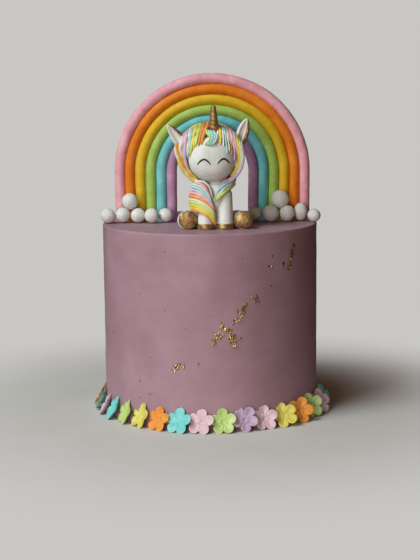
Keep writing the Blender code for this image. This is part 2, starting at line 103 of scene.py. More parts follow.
# The haunches lie to each side of this place
HAUNCH_MIDDLE = np.array((3.0, -38.0, 147.4))
HAUNCH_APART = np.array((9.2, 0.0, 0.0))
HAUNCH_RADII = np.array((6.2, 8.6, 7.4))
HORN_BASE = np.array((3.9, -49.0, 206.5))
HORN_TIP = np.array((3.2, -52.0, 227.9))
HORN_RADIUS = 4.3
HORN_TAPER = 0.62
HORN_WINDS = 7.0
# The radius in the horn's groove and what the ridge adds to it, as shares of the radius there
HORN_GROOVE = 0.90
HORN_RIDGE = 0.11
# Each ear: its root, its tip, and half its width at each of these shares of its length
EAR_SHARES = (0, 0.2, 0.4, 0.6, 0.75, 0.88, 0.96, 1.0)
EARS = {
    "left": ((-17.0, -42.5, 198.0), (-29.4, -44.0, 214.2), (4.2, 4.9, 4.7, 3.9, 3.1, 2.1, 1.2, 0.3)),
    "right": ((20.6, -42.5, 197.0), (27.2, -44.0, 218.0), (2.6, 3.6, 4.5, 4.4, 3.6, 2.5, 1.4, 0.4)),
}
EAR_HALF_DEPTH = 2.1
# How deep and how wide the hollow of an ear is, as shares of half its depth and half its width
EAR_HOLLOW_DEPTH = 1.45
EAR_HOLLOW_WIDTH = 0.46
# Where the gold starts on the front and the back of an ear: 1 is its right-hand rim and -1 its left-hand rim.
# The gold on the right-hand rim is painted shade on the side turned from the light
EAR_SHADE_GOLD_FRONT = 0.42
EAR_SHADE_GOLD_BACK = -0.5
# Each front leg: its x and its radius. Then y and the height above the icing of the stops up both legs
FRONT_LEGS = {"left": (-2.9, 5.4), "right": (10.8, 5.8)}
FRONT_LEG_STOPS = ((-50.0, 0.0), (-50.0, 4.2), (-48.9, 13.0), (-47.4, 23.0), (-46.2, 30.0))
# The profile of a hoof: the heights, and how much wider than the leg it is there
HOOF_HEIGHTS = (0.0, 0.35, 1.5, 3.0, 4.0, 4.35, 4.4)
HOOF_SWELL = np.array((0.10, 0.48, 0.62, 0.60, 0.48, 0.20, -0.6))
# Each hind leg: the side it lies on, the foot's x and its radius. Then, for each stop along both legs, how
# much nearer the middle than the foot it is, and its y
HIND_LEGS = {"left": (-1, -16.2, 6.65), "right": (1, 23.8, 6.4)}
HIND_LEG_STOPS = ((5.5, -34.0), (1.6, -42.0), (0.0, -48.0), (0.0, -51.2))
SOLE_Y = -50.4
SOLE_HALF_DEPTH = 2.9
# Each eye: the middle of its arch, half its width, the height of its top and how far its ends drop
EYES = {"left": (-3.65, 4.6, 190.5, 3.7), "right": (10.1, 4.2, 190.7, 3.4)}
EYE_LIFT = 0.12
EYE_LINE_HALF_WIDTH = 0.68
EYE_LINE_HALF_HEIGHT = 0.20

# The finest round shapes are balls of even triangles, divided this many times
BALL_DIVISIONS = 5


# Small tools

def linear(hex_colour):
    """An sRGB hex colour as linear red, green, blue and alpha."""
    def channel(value):
        return value / 12.92 if value <= 0.04045 else ((value + 0.055) / 1.055) ** 2.4
    return tuple(channel(int(hex_colour[i:i + 2], 16) / 255) for i in (0, 2, 4)) + (1.0,)


def add(tree, kind, inputs=(), stops=(), **settings):
    """Adds one node. Its settings are its own properties, inputs gives each socket a value or a node's
    output, and stops gives a colour ramp its positions and hex colours. A number picks a socket whose name
    isn't its own: in a Mix node 0 is the factor, 4 and 5 are the two vectors, and 6 and 7 the two colours."""
    node = tree.nodes.new(kind)
    for name, value in settings.items():
        setattr(node, name, value)
    for name, value in dict(inputs).items():
        if isinstance(value, bpy.types.NodeSocket):
            tree.links.new(value, node.inputs[name])
        else:
            node.inputs[name].default_value = value
    if stops:
        marks = node.color_ramp.elements
        for position, colour in stops:
            marks.new(position).color = linear(colour)
        # A new ramp has a black mark at one end and a white one at the other
        marks.remove(marks[-1])
        marks.remove(marks[0])
    return node


def new_finish(name, constants):
    """A material, its node tree, its Principled shader with the constants set, and places in the piece."""
    material = bpy.data.materials.new(name)
    material.use_nodes = True
    tree = material.node_tree
    shader = tree.nodes["Principled BSDF"]
    for socket, value in constants.items():
        shader.inputs[socket].default_value = value
    return material, tree, shader, add(tree, "ShaderNodeTexCoord").outputs["Object"]


def per_mm(size):
    """The scale at which a noise in metres has features about size mm across."""
    return 1000.0 / size


def wobble(points, size, depth, seed):
    """Smooth noise for each point, in mm: features about size across, up to depth high."""
    shift = Vector((seed, seed * 1.7, seed * 0.6))
    return np.array([noise.noise(Vector(p) / size + shift) for p in points]) * depth


def around(count):
    """Angles spread evenly round a circle."""
    return np.linspace(0, 2 * math.pi, count, endpoint=False)


def piece(name, points, faces, material, node=None, slot=None, painted=None, sharp=45):
    """A mesh piece from points in mm that rides on the cake and, if a node is given, stands for it. Of
    several materials, painted gives the one that each face has."""
    mesh = bpy.data.meshes.new(name)
    mesh.from_pydata((np.asarray(points, float) * MM).tolist(), [], [tuple(int(i) for i in f) for f in faces])
    mesh.validate()
    bm = bmesh.new()
    bm.from_mesh(mesh)
    bmesh.ops.recalc_face_normals(bm, faces=bm.faces)
    bm.to_mesh(mesh)
    bm.free()
    for finish in (material if isinstance(material, list) else [material]):
        mesh.materials.append(finish)
    if painted is not None:
        mesh.polygons.foreach_set("material_index", painted)
    mesh.shade_smooth()
    mesh.set_sharp_from_angle(angle=math.radians(sharp))
    obj = bpy.data.objects.new(name, mesh)
    bpy.context.scene.collection.objects.link(obj)
    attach(obj, "root")
    if node:
        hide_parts(node)


def tube_faces(rows, columns):
    """The quads between a tube's rings of points, and a face over each end."""
    quads = [(r * columns + c, r * columns + (c + 1) % columns,
              (r + 1) * columns + (c + 1) % columns, (r + 1) * columns + c)
             for r in range(rows - 1) for c in range(columns)]
    return quads + [tuple(range(columns))[::-1], tuple(range((rows - 1) * columns, rows * columns))]


def merged(parts):
    """Several (points, faces) as one."""
    points, faces, start = [], [], 0
    for more_points, more_faces in parts:
        points.append(np.asarray(more_points))
        faces.extend([tuple(i + start for i in f) for f in more_faces])
        start += len(more_points)
    return np.concatenate(points), faces


def smooth_path(stops, count):
    """Points spread evenly on a Catmull-Rom curve through the stops."""
    stops = np.asarray(stops, float)
    ends = np.concatenate([[2 * stops[0] - stops[1]], stops, [2 * stops[-1] - stops[-2]]])
    fine = []
    for i in range(len(stops) - 1):
        a, b, c, d = ends[i:i + 4]
        for t in np.linspace(0, 1, 16, endpoint=False):
            fine.append(0.5 * (2 * b + (c - a) * t + (2 * a - 5 * b + 4 * c - d) * t * t
                               + (3 * b - a - 3 * c + d) * t ** 3))
    fine.append(stops[-1])
    fine = np.array(fine)
    along = np.concatenate([[0], np.cumsum(np.linalg.norm(np.diff(fine, axis=0), axis=1))])
    even = np.linspace(0, along[-1], count)
    return np.stack([np.interp(even, along, fine[:, k]) for k in range(3)], axis=1)


def strand(path, outward, half_widths, half_heights, sides):
    """A tube along the path, half_heights thick in the outward directions and half_widths across them."""
    tangents = np.gradient(path, axis=0)
    tangents /= np.linalg.norm(tangents, axis=1)[:, None]
    across = np.cross(tangents, outward)
    across /= np.linalg.norm(across, axis=1)[:, None]
    up = np.cross(across, tangents)
    turns = around(sides)
    rings = (path[:, None] + across[:, None] * (np.cos(turns)[None, :, None] * half_widths[:, None, None])
             + up[:, None] * (np.sin(turns)[None, :, None] * half_heights[:, None, None]))
    return rings.reshape(-1, 3), tube_faces(len(path), sides)


def rounded_ends(count, start, end, tail):
    """A profile that is 1 along the middle and falls roundly, over the share tail, to start and end."""
    t = np.linspace(0, 1, count)
    rise = np.sqrt(np.clip(1 - (1 - np.clip(t / tail, 0, 1)) ** 2, 0, 1))
    fall = np.sqrt(np.clip(1 - (1 - np.clip((1 - t) / tail, 0, 1)) ** 2, 0, 1))
    return (start + (1 - start) * rise) * (end + (1 - end) * fall)


def round_ball():
    """A unit ball of even triangles."""
    bm = bmesh.new()
    bmesh.ops.create_icosphere(bm, subdivisions=BALL_DIVISIONS, radius=1.0)
    points = np.array([v.co for v in bm.verts])
    faces = [tuple(v.index for v in f.verts) for f in bm.faces]
    bm.free()
    return points, faces


# Colours, each as deep, main and pale sRGB hex
ICING_DARK, ICING, ICING_LIGHT = "9D7C88", "A68592", "AE8D99"
ICING_GRAIN = "5C3F48"
PASTE = {
    "pink": ("D4909A", "DE9FAA", "E8B4BC"),
    "orange": ("CF720C", "D97A12", "E08A28"),
    "yellow": ("CCA418", "D6AE1C", "DEBA38"),
    "green": ("96B24E", "A0BC58", "B0C870"),
    "blue": ("60B0B6", "70BDBF", "88CACA"),
    "purple": ("9E7292", "AD81A0", "BE98B4"),
    "white": ("CED0CC", "DCDEDB", "E9EBE9"),
}
PETAL = {
    "pink": ("C9A3AC", "D8B8C0", "E6D0D6"),
    "orange": ("D07A24", "E09036", "EAA85C"),
    "yellow": ("C4B848", "D2C860", "E2DC8C"),
    "green": ("A2BE62", "B6CE7C", "CCDEA2"),
    "blue": ("62C0C0", "7CCECC", "A4DEDA"),
    "purple": ("A389A6", "B8A0B8", "CEBCD0"),
}
HAIR = {
    "lilac": ("BBA0C2", "D0B8D4", "E0D0E2"),
    "aqua": ("7FBFC2", "9AD3D2", "BCE4E0"),
    "yellow": ("C9B23C", "DDCB52", "EADF82"),
    "lime": ("A8C860", "BFDA7C", "D4E8A2"),
    "orange": ("D4803C", "E4984E", "F0B47A"),
    "pink": ("D79DA6", "E6B5BA", "F0CED0"),
    "white": ("CBCCC4", "DCDDD6", "EBEBE7"),
    # The core under the strands is darker beige: painted shade that shows in the gaps between the strands
    "gap_shade_core": ("A1977F", "B3A88F", "C4BAA4"),
}


# Materials

def smoothed_buttercream():
    """Swiss buttercream smoothed with a metal scraper: a soft satin fat surface with faint sweeps round the
    cake, tiny burst air bubbles and a few dark grains of colour."""
    material, tree, shader, place = new_finish("smoothed_mauve_buttercream", {
        "IOR": 1.45, "Specular IOR Level": 0.32, "Subsurface Weight": 0.08,
        "Subsurface Radius": (0.0016, 0.0009, 0.0008)})
    # Scraper sweeps run level round the side, so the noise is squeezed in height
    swept = add(tree, "ShaderNodeMapping", {"Vector": place, "Scale": (1.0, 1.0, 5.0)})
    sweeps = add(tree, "ShaderNodeTexNoise", {"Vector": swept.outputs[0], "Scale": per_mm(34), "Detail": 3.0,
                                              "Roughness": 0.5})
    cloudy = add(tree, "ShaderNodeTexNoise", {"Vector": place, "Scale": per_mm(26), "Detail": 4.0,
                                              "Roughness": 0.55})
    body = add(tree, "ShaderNodeValToRGB", {"Fac": cloudy.outputs["Fac"]},
               stops=((0.30, ICING_DARK), (0.55, ICING), (0.75, ICING_LIGHT)))
    # Grains of colour and shallow pits up to 2 mm across, at most one in each 5 mm of the surface
    warped = add(tree, "ShaderNodeTexNoise", {"Vector": place, "Scale": per_mm(3), "Detail": 2.0})
    shifted = add(tree, "ShaderNodeMix", {0: 0.0025, 4: place, 5: warped.outputs["Color"]},
                  data_type="VECTOR")
    cells = add(tree, "ShaderNodeTexVoronoi", {"Vector": shifted.outputs[1], "Scale": per_mm(5.0)})
    reach = add(tree, "ShaderNodeMapRange", {"Value": cells.outputs["Color"], "From Min": 0.40,
                                             "From Max": 1.0, "To Min": 0.0, "To Max": 0.20})
    inside = add(tree, "ShaderNodeMath", {0: reach.outputs[0], 1: cells.outputs["Distance"]},
                 operation="SUBTRACT")
    grain = add(tree, "ShaderNodeMapRange", {"Value": inside.outputs[0], "From Min": 0.0, "From Max": 0.04,
                                             "To Min": 0.0, "To Max": 0.90})
    colour = add(tree, "ShaderNodeMix", {0: grain.outputs[0], 6: body.outputs["Color"],
                                         7: linear(ICING_GRAIN)}, data_type="RGBA")
    tree.links.new(colour.outputs[2], shader.inputs["Base Color"])
    fine = add(tree, "ShaderNodeTexNoise", {"Vector": place, "Scale": per_mm(1.6), "Detail": 3.0,
                                            "Roughness": 0.6})
    height = add(tree, "ShaderNodeMath", {0: fine.outputs["Fac"], 1: 0.16}, operation="MULTIPLY")
    height = add(tree, "ShaderNodeMath", {0: sweeps.outputs["Fac"], 1: height.outputs[0]}, operation="ADD")
    height = add(tree, "ShaderNodeMath", {0: height.outputs[0], 1: grain.outputs[0]}, operation="SUBTRACT")
    bump = add(tree, "ShaderNodeBump", {"Height": height.outputs[0], "Strength": 0.55, "Distance": 0.0005})
    tree.links.new(bump.outputs[0], shader.inputs["Normal"])
    rough = add(tree, "ShaderNodeMapRange", {"Value": cloudy.outputs["Fac"], "From Min": 0.3,
                                             "From Max": 0.7, "To Min": 0.46, "To Max": 0.58})
    tree.links.new(rough.outputs[0], shader.inputs["Roughness"])
    return material


def rolled_sugar_paste(name, deep, main, pale, roughness=0.62, softness=0.30):
    """Sugar paste rolled or pressed and left to dry: matt, a little see-through by its softness, with uneven
    colour where it was kneaded, and a bloom of icing sugar that pales it in small spots."""
    material, tree, shader, place = new_finish(name, {
        "Roughness": roughness, "IOR": 1.48, "Specular IOR Level": 0.30, "Subsurface Weight": softness,
        "Subsurface Radius": (0.0040, 0.0032, 0.0026)})
    kneaded = add(tree, "ShaderNodeTexNoise", {"Vector": place, "Scale": per_mm(9), "Detail": 4.0,
                                               "Roughness": 0.6, "Distortion": 0.6})
    body = add(tree, "ShaderNodeValToRGB", {"Fac": kneaded.outputs["Fac"]},
               stops=((0.28, deep), (0.5, main), (0.74, pale)))
    bloom = add(tree, "ShaderNodeTexNoise", {"Vector": place, "Scale": per_mm(1.1), "Detail": 3.0,
                                             "Roughness": 0.7})
    dusted = add(tree, "ShaderNodeMapRange", {"Value": bloom.outputs["Fac"], "From Min": 0.52,
                                              "From Max": 0.78, "To Min": 0.0, "To Max": 0.12})
    colour = add(tree, "ShaderNodeMix", {0: dusted.outputs[0], 6: body.outputs["Color"], 7: linear(pale)},
                 data_type="RGBA")
    tree.links.new(colour.outputs[2], shader.inputs["Base Color"])
    height = add(tree, "ShaderNodeMath", {0: kneaded.outputs["Fac"], 1: 0.8}, operation="MULTIPLY")
    height = add(tree, "ShaderNodeMath", {0: height.outputs[0], 1: bloom.outputs["Fac"]}, operation="ADD")
    bump = add(tree, "ShaderNodeBump", {"Height": height.outputs[0], "Strength": 0.35, "Distance": 0.0003})
    tree.links.new(bump.outputs[0], shader.inputs["Normal"])
    return material


def crazed_sugar_paste():
    """Sugar paste rolled into balls when it had begun to dry: matt and powdery with icing sugar, its skin
    crazed in fine shallow cracks, which are greyed as painted shade."""
    material, tree, shader, place = new_finish("crazed_sugar_paste_white", {
        "Roughness": 0.75, "IOR": 1.48, "Specular IOR Level": 0.2, "Subsurface Weight": 0.12,
        "Subsurface Radius": (0.0012, 0.0009, 0.0007)})
    warp = add(tree, "ShaderNodeTexNoise", {"Vector": place, "Scale": per_mm(2.0), "Detail": 3.0})
    bent = add(tree, "ShaderNodeMix", {0: 0.003, 4: place, 5: warp.outputs["Color"]}, data_type="VECTOR")
    cells = add(tree, "ShaderNodeTexVoronoi", {"Vector": bent.outputs[1], "Scale": per_mm(2.4)},
                feature="DISTANCE_TO_EDGE")
    crack = add(tree, "ShaderNodeMapRange", {"Value": cells.outputs["Distance"], "From Min": 0.0,
                                             "From Max": 0.09, "To Min": 0.35, "To Max": 0.0})
    powder = add(tree, "ShaderNodeTexNoise", {"Vector": place, "Scale": per_mm(0.8), "Detail": 4.0,
                                              "Roughness": 0.7})
    body = add(tree, "ShaderNodeValToRGB", {"Fac": powder.outputs["Fac"]},
               stops=((0.30, "CACBC7"), (0.5, "DFE0DD"), (0.70, "EEEFED")))
    # Grey in the cracks: painted shade where the bump presses them in
    colour = add(tree, "ShaderNodeMix", {0: crack.outputs[0], 6: body.outputs["Color"], 7: linear("A3A09A")},
                 data_type="RGBA")
    tree.links.new(colour.outputs[2], shader.inputs["Base Color"])
    height = add(tree, "ShaderNodeMath", {0: powder.outputs["Fac"], 1: crack.outputs[0]},
                 operation="SUBTRACT")
    bump = add(tree, "ShaderNodeBump", {"Height": height.outputs[0], "Strength": 0.6, "Distance": 0.0005})
    tree.links.new(bump.outputs[0], shader.inputs["Normal"])
    return material


def brushed_gold_paint():
    """Edible gold lustre mixed with alcohol and brushed over sugar paste: flaky metal in a dull film, thin
    and brown where the brush dragged."""
    material, tree, shader, place = new_finish("brushed_gold_paint", {"Metallic": 0.60})
    patches = add(tree, "ShaderNodeTexNoise", {"Vector": place, "Scale": per_mm(3.4), "Detail": 4.0,
                                               "Roughness": 0.6})
    colour = add(tree, "ShaderNodeValToRGB", {"Fac": patches.outputs["Fac"]},
                 stops=((0.30, "6C4E2A"), (0.5, "A07F4E"), (0.72, "CBAE7C")))
    tree.links.new(colour.outputs["Color"], shader.inputs["Base Color"])
    film = add(tree, "ShaderNodeMapRange", {"Value": patches.outputs["Fac"], "From Min": 0.3,
                                            "From Max": 0.7, "To Min": 0.54, "To Max": 0.38})
    tree.links.new(film.outputs[0], shader.inputs["Roughness"])
    flakes = add(tree, "ShaderNodeTexNoise", {"Vector": place, "Scale": per_mm(0.9), "Detail": 3.0})
    bump = add(tree, "ShaderNodeBump", {"Height": flakes.outputs["Fac"], "Strength": 0.5, "Distance": 0.0004})
    tree.links.new(bump.outputs[0], shader.inputs["Normal"])
    return material


def crumpled_gold_leaf():
    """Loose 23 carat gold leaf pressed on with a dry brush: bright crumpled metal, coloured darker in its
    creases and paler on its crumples as painted shade and painted highlight.
    """
    material, tree, shader, place = new_finish("crumpled_gold_leaf", {"Metallic": 1.0, "Roughness": 0.26})
    creases = add(tree, "ShaderNodeTexNoise", {"Vector": place, "Scale": per_mm(0.8), "Detail": 3.0})
    # Dark brown in the low creases and pale gold on the raised crumples, from the same noise as the bump:
    # painted shade and painted highlight
    colour = add(tree, "ShaderNodeValToRGB", {"Fac": creases.outputs["Fac"]},
                 stops=((0.35, "8E6E2A"), (0.6, "DFC27A")))
    tree.links.new(colour.outputs["Color"], shader.inputs["Base Color"])
    bump = add(tree, "ShaderNodeBump", {"Height": creases.outputs["Fac"], "Strength": 0.8,
                                        "Distance": 0.0004})
    tree.links.new(bump.outputs[0], shader.inputs["Normal"])
    return material


def food_pen():
    """Black edible ink drawn with a fine pen: flat and a little glossy."""
    material, tree, shader, place = new_finish("black_food_pen", {"Roughness": 0.45})
    grain = add(tree, "ShaderNodeTexNoise", {"Vector": place, "Scale": per_mm(0.6), "Detail": 2.0})
    colour = add(tree, "ShaderNodeValToRGB", {"Fac": grain.outputs["Fac"]},
                 stops=((0.3, "1A1718"), (0.7, "2B2726")))
    tree.links.new(colour.outputs["Color"], shader.inputs["Base Color"])
    return material


# The cake

def build_icing(finish):
    """The iced side, a crisp top edge and a flat top, all turned and then made a little uneven by hand."""
    columns, side_rows, corner_rows, top_rows = 320, 84, 7, 40
    middle = 0.6
    corner = np.linspace(0, math.pi / 2, corner_rows)[1:]
    profile = [(CAKE_RADIUS, z) for z in np.linspace(0, CAKE_HEIGHT - RIM_ROUND, side_rows)]
    profile += [(CAKE_RADIUS - RIM_ROUND * (1 - math.cos(a)), CAKE_HEIGHT - RIM_ROUND * (1 - math.sin(a)))
                for a in corner]
    profile += [(r, CAKE_HEIGHT) for r in np.linspace(CAKE_RADIUS - RIM_ROUND, middle, top_rows)[1:]]
    turns = around(columns)
    points = np.array([(r * math.sin(t), -r * math.cos(t), z) for r, z in profile for t in turns])
    outward = points[:, :2] / np.maximum(np.linalg.norm(points[:, :2], axis=1), 1e-6)[:, None]
    # 0 at the rim and 1 from a little below it, so that the rim stays crisp
    below_rim = np.clip((CAKE_HEIGHT - points[:, 2]) / RIM_FADE, 0, 1)
    # The scraper leaves shallow sweeps, long round the cake and short up it, and takes off what stands proud
    swept = points * (0.25, 0.25, 1.0)
    lumps = (wobble(swept, size=14.0, depth=0.16, seed=3.0)
             + wobble(points, size=30.0, depth=0.22, seed=8.0) - 0.14)
    points[:, :2] += outward * (np.minimum(lumps, 0.05) * (0.35 + 0.65 * below_rim))[:, None]
    flat = (points[:, 2] > CAKE_HEIGHT - 1e-6)
    points[flat, 2] += np.minimum(wobble(points[flat], size=16.0, depth=0.14, seed=5.0) - 0.05, 0.02)
    piece("cake_icing", points, tube_faces(len(profile), columns), finish, "cake", "icing")


# Gold leaf on the side, patch by patch: bearing from the front in degrees, height, spread along and across in
# mm, lean in degrees, and how many scraps
GOLD_PATCHES = (
    (-17.2, 45.8, 2.6, 1.6, 20, 22), (-6.9, 48.7, 0.8, 0.5, 0, 4), (1.4, 64.6, 1.6, 1.2, 30, 14),
    (4.6, 68.0, 2.2, 1.1, 25, 18), (5.4, 75.4, 1.6, 1.0, -45, 11), (8.6, 72.4, 1.9, 1.3, -35, 22),
    (10.2, 69.0, 1.8, 1.0, -60, 16), (10.6, 64.8, 1.5, 1.1, 70, 14), (12.9, 78.4, 1.9, 1.0, 10, 11),
    (14.7, 65.8, 0.9, 0.5, 0, 5), (12.2, 60.4, 0.8, 0.4, 20, 5), (15.4, 81.6, 0.6, 0.4, 0, 4),
    (16.2, 86.8, 2.8, 1.5, 40, 25), (21.6, 94.9, 0.7, 0.6, 0, 5), (23.6, 93.0, 1.5, 0.9, -40, 11),
    (31.9, 115.2, 0.9, 0.3, -10, 4), (40.6, 115.4, 0.9, 1.1, 60, 7), (44.0, 113.0, 1.6, 1.0, 50, 16),
    (45.0, 117.0, 2.0, 1.0, 75, 16), (46.4, 121.6, 2.2, 1.0, 75, 18), (46.9, 126.0, 2.0, 0.9, 80, 14),
    (48.4, 128.6, 0.7, 0.5, 60, 4),
)
# Most scraps lie within these shares of a patch's spread along and across
LEAF_SPREAD = (0.75, 0.85)
# In mm, the radii of the smallest and largest scrap, how far they stand off and half their thickness
LEAF_SIZES = (0.40, 1.15)
LEAF_STAND = 0.12
LEAF_HALF_THICKNESS = 0.25


def build_leaf_scrap(chance, size, placed, centre):
    """One torn fan of leaf with a crumpled rim, turned by placed about its centre."""
    sides = chance.randint(5, 7)
    rim = []
    for k in range(sides):
        turn = 2 * math.pi * k / sides + chance.uniform(-0.25, 0.25)
        reach = size * chance.uniform(0.7, 1.15)
        lift = chance.uniform(-0.30, 0.05)
        rim.append((math.cos(turn) * reach * 1.15, lift, math.sin(turn) * reach * 0.8))
    front = [(0, -LEAF_HALF_THICKNESS - 0.15 * size, 0)] + rim
    back = [(0, LEAF_HALF_THICKNESS, 0)] + [(x * 0.9, y + 0.12, z * 0.9) for x, y, z in rim]
    points = [tuple(placed @ Vector(p) + centre) for p in front + back]
    faces = []
    for k in range(sides):
        here, there = 1 + k, 1 + (k + 1) % sides
        behind, beside = here + sides + 1, there + sides + 1
        faces += [(0, here, there), (sides + 1, beside, behind), (there, here, behind, beside)]
    return points, faces


def build_gold_leaf(finish):
    """Crumpled scraps of leaf in the patches, each a small torn fan that stands off the icing a little."""
    chance = random.Random(23)
    parts = []
    for bearing, height, along, across, lean, scraps in GOLD_PATCHES:
        for _ in range(scraps):
            s, t = chance.gauss(0, LEAF_SPREAD[0]) * along, chance.gauss(0, LEAF_SPREAD[1]) * across
            slope = math.radians(lean)
            shift_x = s * math.cos(slope) - t * math.sin(slope)
            shift_z = s * math.sin(slope) + t * math.cos(slope)
            angle = math.radians(bearing) + shift_x / CAKE_RADIUS
            size = chance.uniform(*LEAF_SIZES)
            centre = Vector((math.sin(angle), -math.cos(angle), 0)) * (CAKE_RADIUS + LEAF_STAND)
            centre.z = height + shift_z
            placed = Matrix.Rotation(angle, 3, "Z") @ Matrix.Rotation(chance.uniform(0, 6.28), 3, "Y")
            placed = placed @ Matrix.Rotation(chance.gauss(0, 0.35), 3, "X")
            parts.append(build_leaf_scrap(chance, size, placed, centre))
    piece("gold_leaf", *merged(parts), finish, None, "gold", sharp=12)


# The rainbow

def build_rope(index, colour, finish):
    """One rolled rope bent into an arch, thicker and thinner by hand, its cut ends on the icing."""
    leg_rows, arch_rows, sides = 34, 110, 32
    half = OUTER_HALF_WIDTH - ROPE_PITCH * (index + 0.5)
    spring = CAKE_HEIGHT + RAINBOW_TOP - ROPE_PITCH * (index + 0.5) - half
    low = CAKE_HEIGHT - ROPE_SINK
    leg = np.linspace(low, spring, leg_rows, endpoint=False)
    turns = np.linspace(0, math.pi, arch_rows)
    x = np.concatenate([np.full(leg_rows, -half), -half * np.cos(turns), np.full(leg_rows, half)])
    z = np.concatenate([leg, spring + half * np.sin(turns), leg[::-1]])
    path = np.stack([RAINBOW_X + x, np.full(len(x), RAINBOW_Y), z], axis=1)
    outward = np.stack([x, np.zeros(len(x)), np.maximum(z - spring, 0)], axis=1)
    outward /= np.linalg.norm(outward, axis=1)[:, None]
    # The feet stay put, and the ropes are free to stray from a little above them
    free = np.clip((z - CAKE_HEIGHT) / 12, 0, 1)
    # All the ropes lean together, because they lie against each other, and each has its own small waver
    shared = wobble(path, size=46.0, depth=0.55, seed=2.0)
    own = wobble(path, size=17.0, depth=0.16, seed=20.0 + index)
    lift = np.minimum((shared + own) * free, 0.0 if index == 0 else 1.0)
    path += outward * lift[:, None]
    path[:, 1] += wobble(path, size=30.0, depth=0.30, seed=31.0 + index) * free
    half_widths = ROPE_HALF_WIDTH * (1 + wobble(path, size=12.0, depth=0.025, seed=40.0 + index))
    half_depths = ROPE_HALF_DEPTH * (0.98 + wobble(path, size=15.0, depth=0.04, seed=50.0 + index))
    points, faces = strand(path, outward, half_depths, half_widths, sides)
    dents = np.minimum(wobble(points, size=5.0, depth=0.10, seed=60.0 + index), 0.03)
    ray = points - np.repeat(path, sides, axis=0)
    ray /= np.linalg.norm(ray, axis=1)[:, None]
    points = points + ray * dents[:, None]
    points[:, 2] = np.clip(points[:, 2], low, CAKE_HEIGHT + RAINBOW_TOP - TOP_CLEARANCE)
    piece("rope_" + colour, points, faces, finish, "rainbow_" + colour, colour)


# The clouds

# Each ball's radius in mm, and its height over its width
CLOUDS = {
    "ball_left_1": (5.6, 1.00), "ball_left_2": (5.6, 1.00), "ball_left_3": (5.4, 1.00),
    "ball_left_4": (5.5, 1.00), "ball_left_5": (5.4, 0.95), "ball_left_top": (6.0, 1.00),
    "ball_right_1": (5.2, 1.00), "ball_right_2": (6.2, 1.00), "ball_right_3": (5.7, 1.04),
    "ball_right_4": (5.1, 1.30), "ball_right_5": (4.9, 1.00), "ball_right_top": (6.6, 1.00),
}


def middle_of(points):
    """The middle of the box round the points."""
    return (points.max(axis=0) + points.min(axis=0)) / 2


def build_cloud(node, radius, tall, finish, seed, unit):
    """A ball rolled between the palms: nearly round, flat where it stands, with soft facets."""
    low, high = (np.array(corner) * 1000 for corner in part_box(node))
    points, faces = unit
    rolled = (1 + wobble(points, size=0.9, depth=0.045, seed=seed)
              + wobble(points, size=0.4, depth=0.014, seed=seed + 9))
    points = points * rolled[:, None]
    half_span = (points.max(axis=0) - points.min(axis=0)) / 2
    points = (points - middle_of(points)) / half_span
    points = (low + high) / 2 + points * np.array((radius, radius, radius * tall))
    if low[2] < CAKE_HEIGHT + 1:
        points[:, 2] = np.maximum(points[:, 2], CAKE_HEIGHT - REST_SINK)
    piece("cloud_" + node, points, faces, finish, node, "white", sharp=180)


# The blossoms

FLOWERS = 33
FLOWER_FIRST = math.radians(5.6)
# How far a blossom is turned from facing straight out, leans back and may be rolled or lean more, in degrees
FLOWER_TURN = -12
FLOWER_LEAN = 26
FLOWER_ROLL = 17
FLOWER_SWAY = 3.5
FLOWER_SIZES = (0.95, 1.0)
# Blossoms set differently, by index: turned from facing straight out, rolled and leaning back, in degrees
FLOWER_POSES = {
    0: (-9, -5, 26), 1: (-11, 34, 27), 2: (-12, 0, 24), 3: (-34, -23, 30), 4: (-38, 17, 23),
    5: (-34, -11, 25), 6: (-34, 6, 25), 7: (-28, 17, 26), 8: (-20, 0, 26), 26: (-14, 10, 26),
    27: (-13, 17, 28), 28: (-17, 0, 23), 29: (-18, 3, 24), 30: (-12, 0, 24), 31: (-12, 0, 30),
    32: (-12, 3, 27),
}
BLOSSOM_RADIUS = 10.2
BLOSSOM_THICKNESS = 1.2
# How much nearer the cake than the middle of the solid each blossom sits, in mm
BLOSSOM_TUCK = 0.75
HALF_PETAL = math.pi / 5
# A petal's outline is a round: its middle, its radius and the gaps' reach, as shares of the blossom's radius
PETAL_MIDDLE = 0.62
PETAL_ROUND = 0.38
PETAL_GAP = 0.50
# In mm, how far the petals rise at the tip and the sides, and how deep they are creased between and grooved
PETAL_CUP = 2.2
PETAL_CURL = 0.85
PETAL_CREASE = 0.80
PETAL_GROOVE = 0.32
# The raised ring round the dimple in the middle, in mm: its radius, its height, and the dimple's depth
RING_RADIUS = 2.0
RING_HEIGHT = 0.45
DIMPLE_DEPTH = 0.75


def from_petal(turns):
    """The angle of each turn from the middle of its own petal."""
    return (turns + HALF_PETAL) % (2 * HALF_PETAL) - HALF_PETAL


def petal_reach(turns):
    """How far the outline of a five-petalled blossom reaches at each angle, as a share of its radius."""
    lobe = from_petal(turns)
    under = PETAL_ROUND ** 2 - (PETAL_MIDDLE * np.sin(lobe)) ** 2
    reach = PETAL_MIDDLE * np.cos(lobe) + np.sqrt(np.maximum(under, 0))
    return np.where(under > 0, np.maximum(reach, PETAL_GAP), PETAL_GAP)


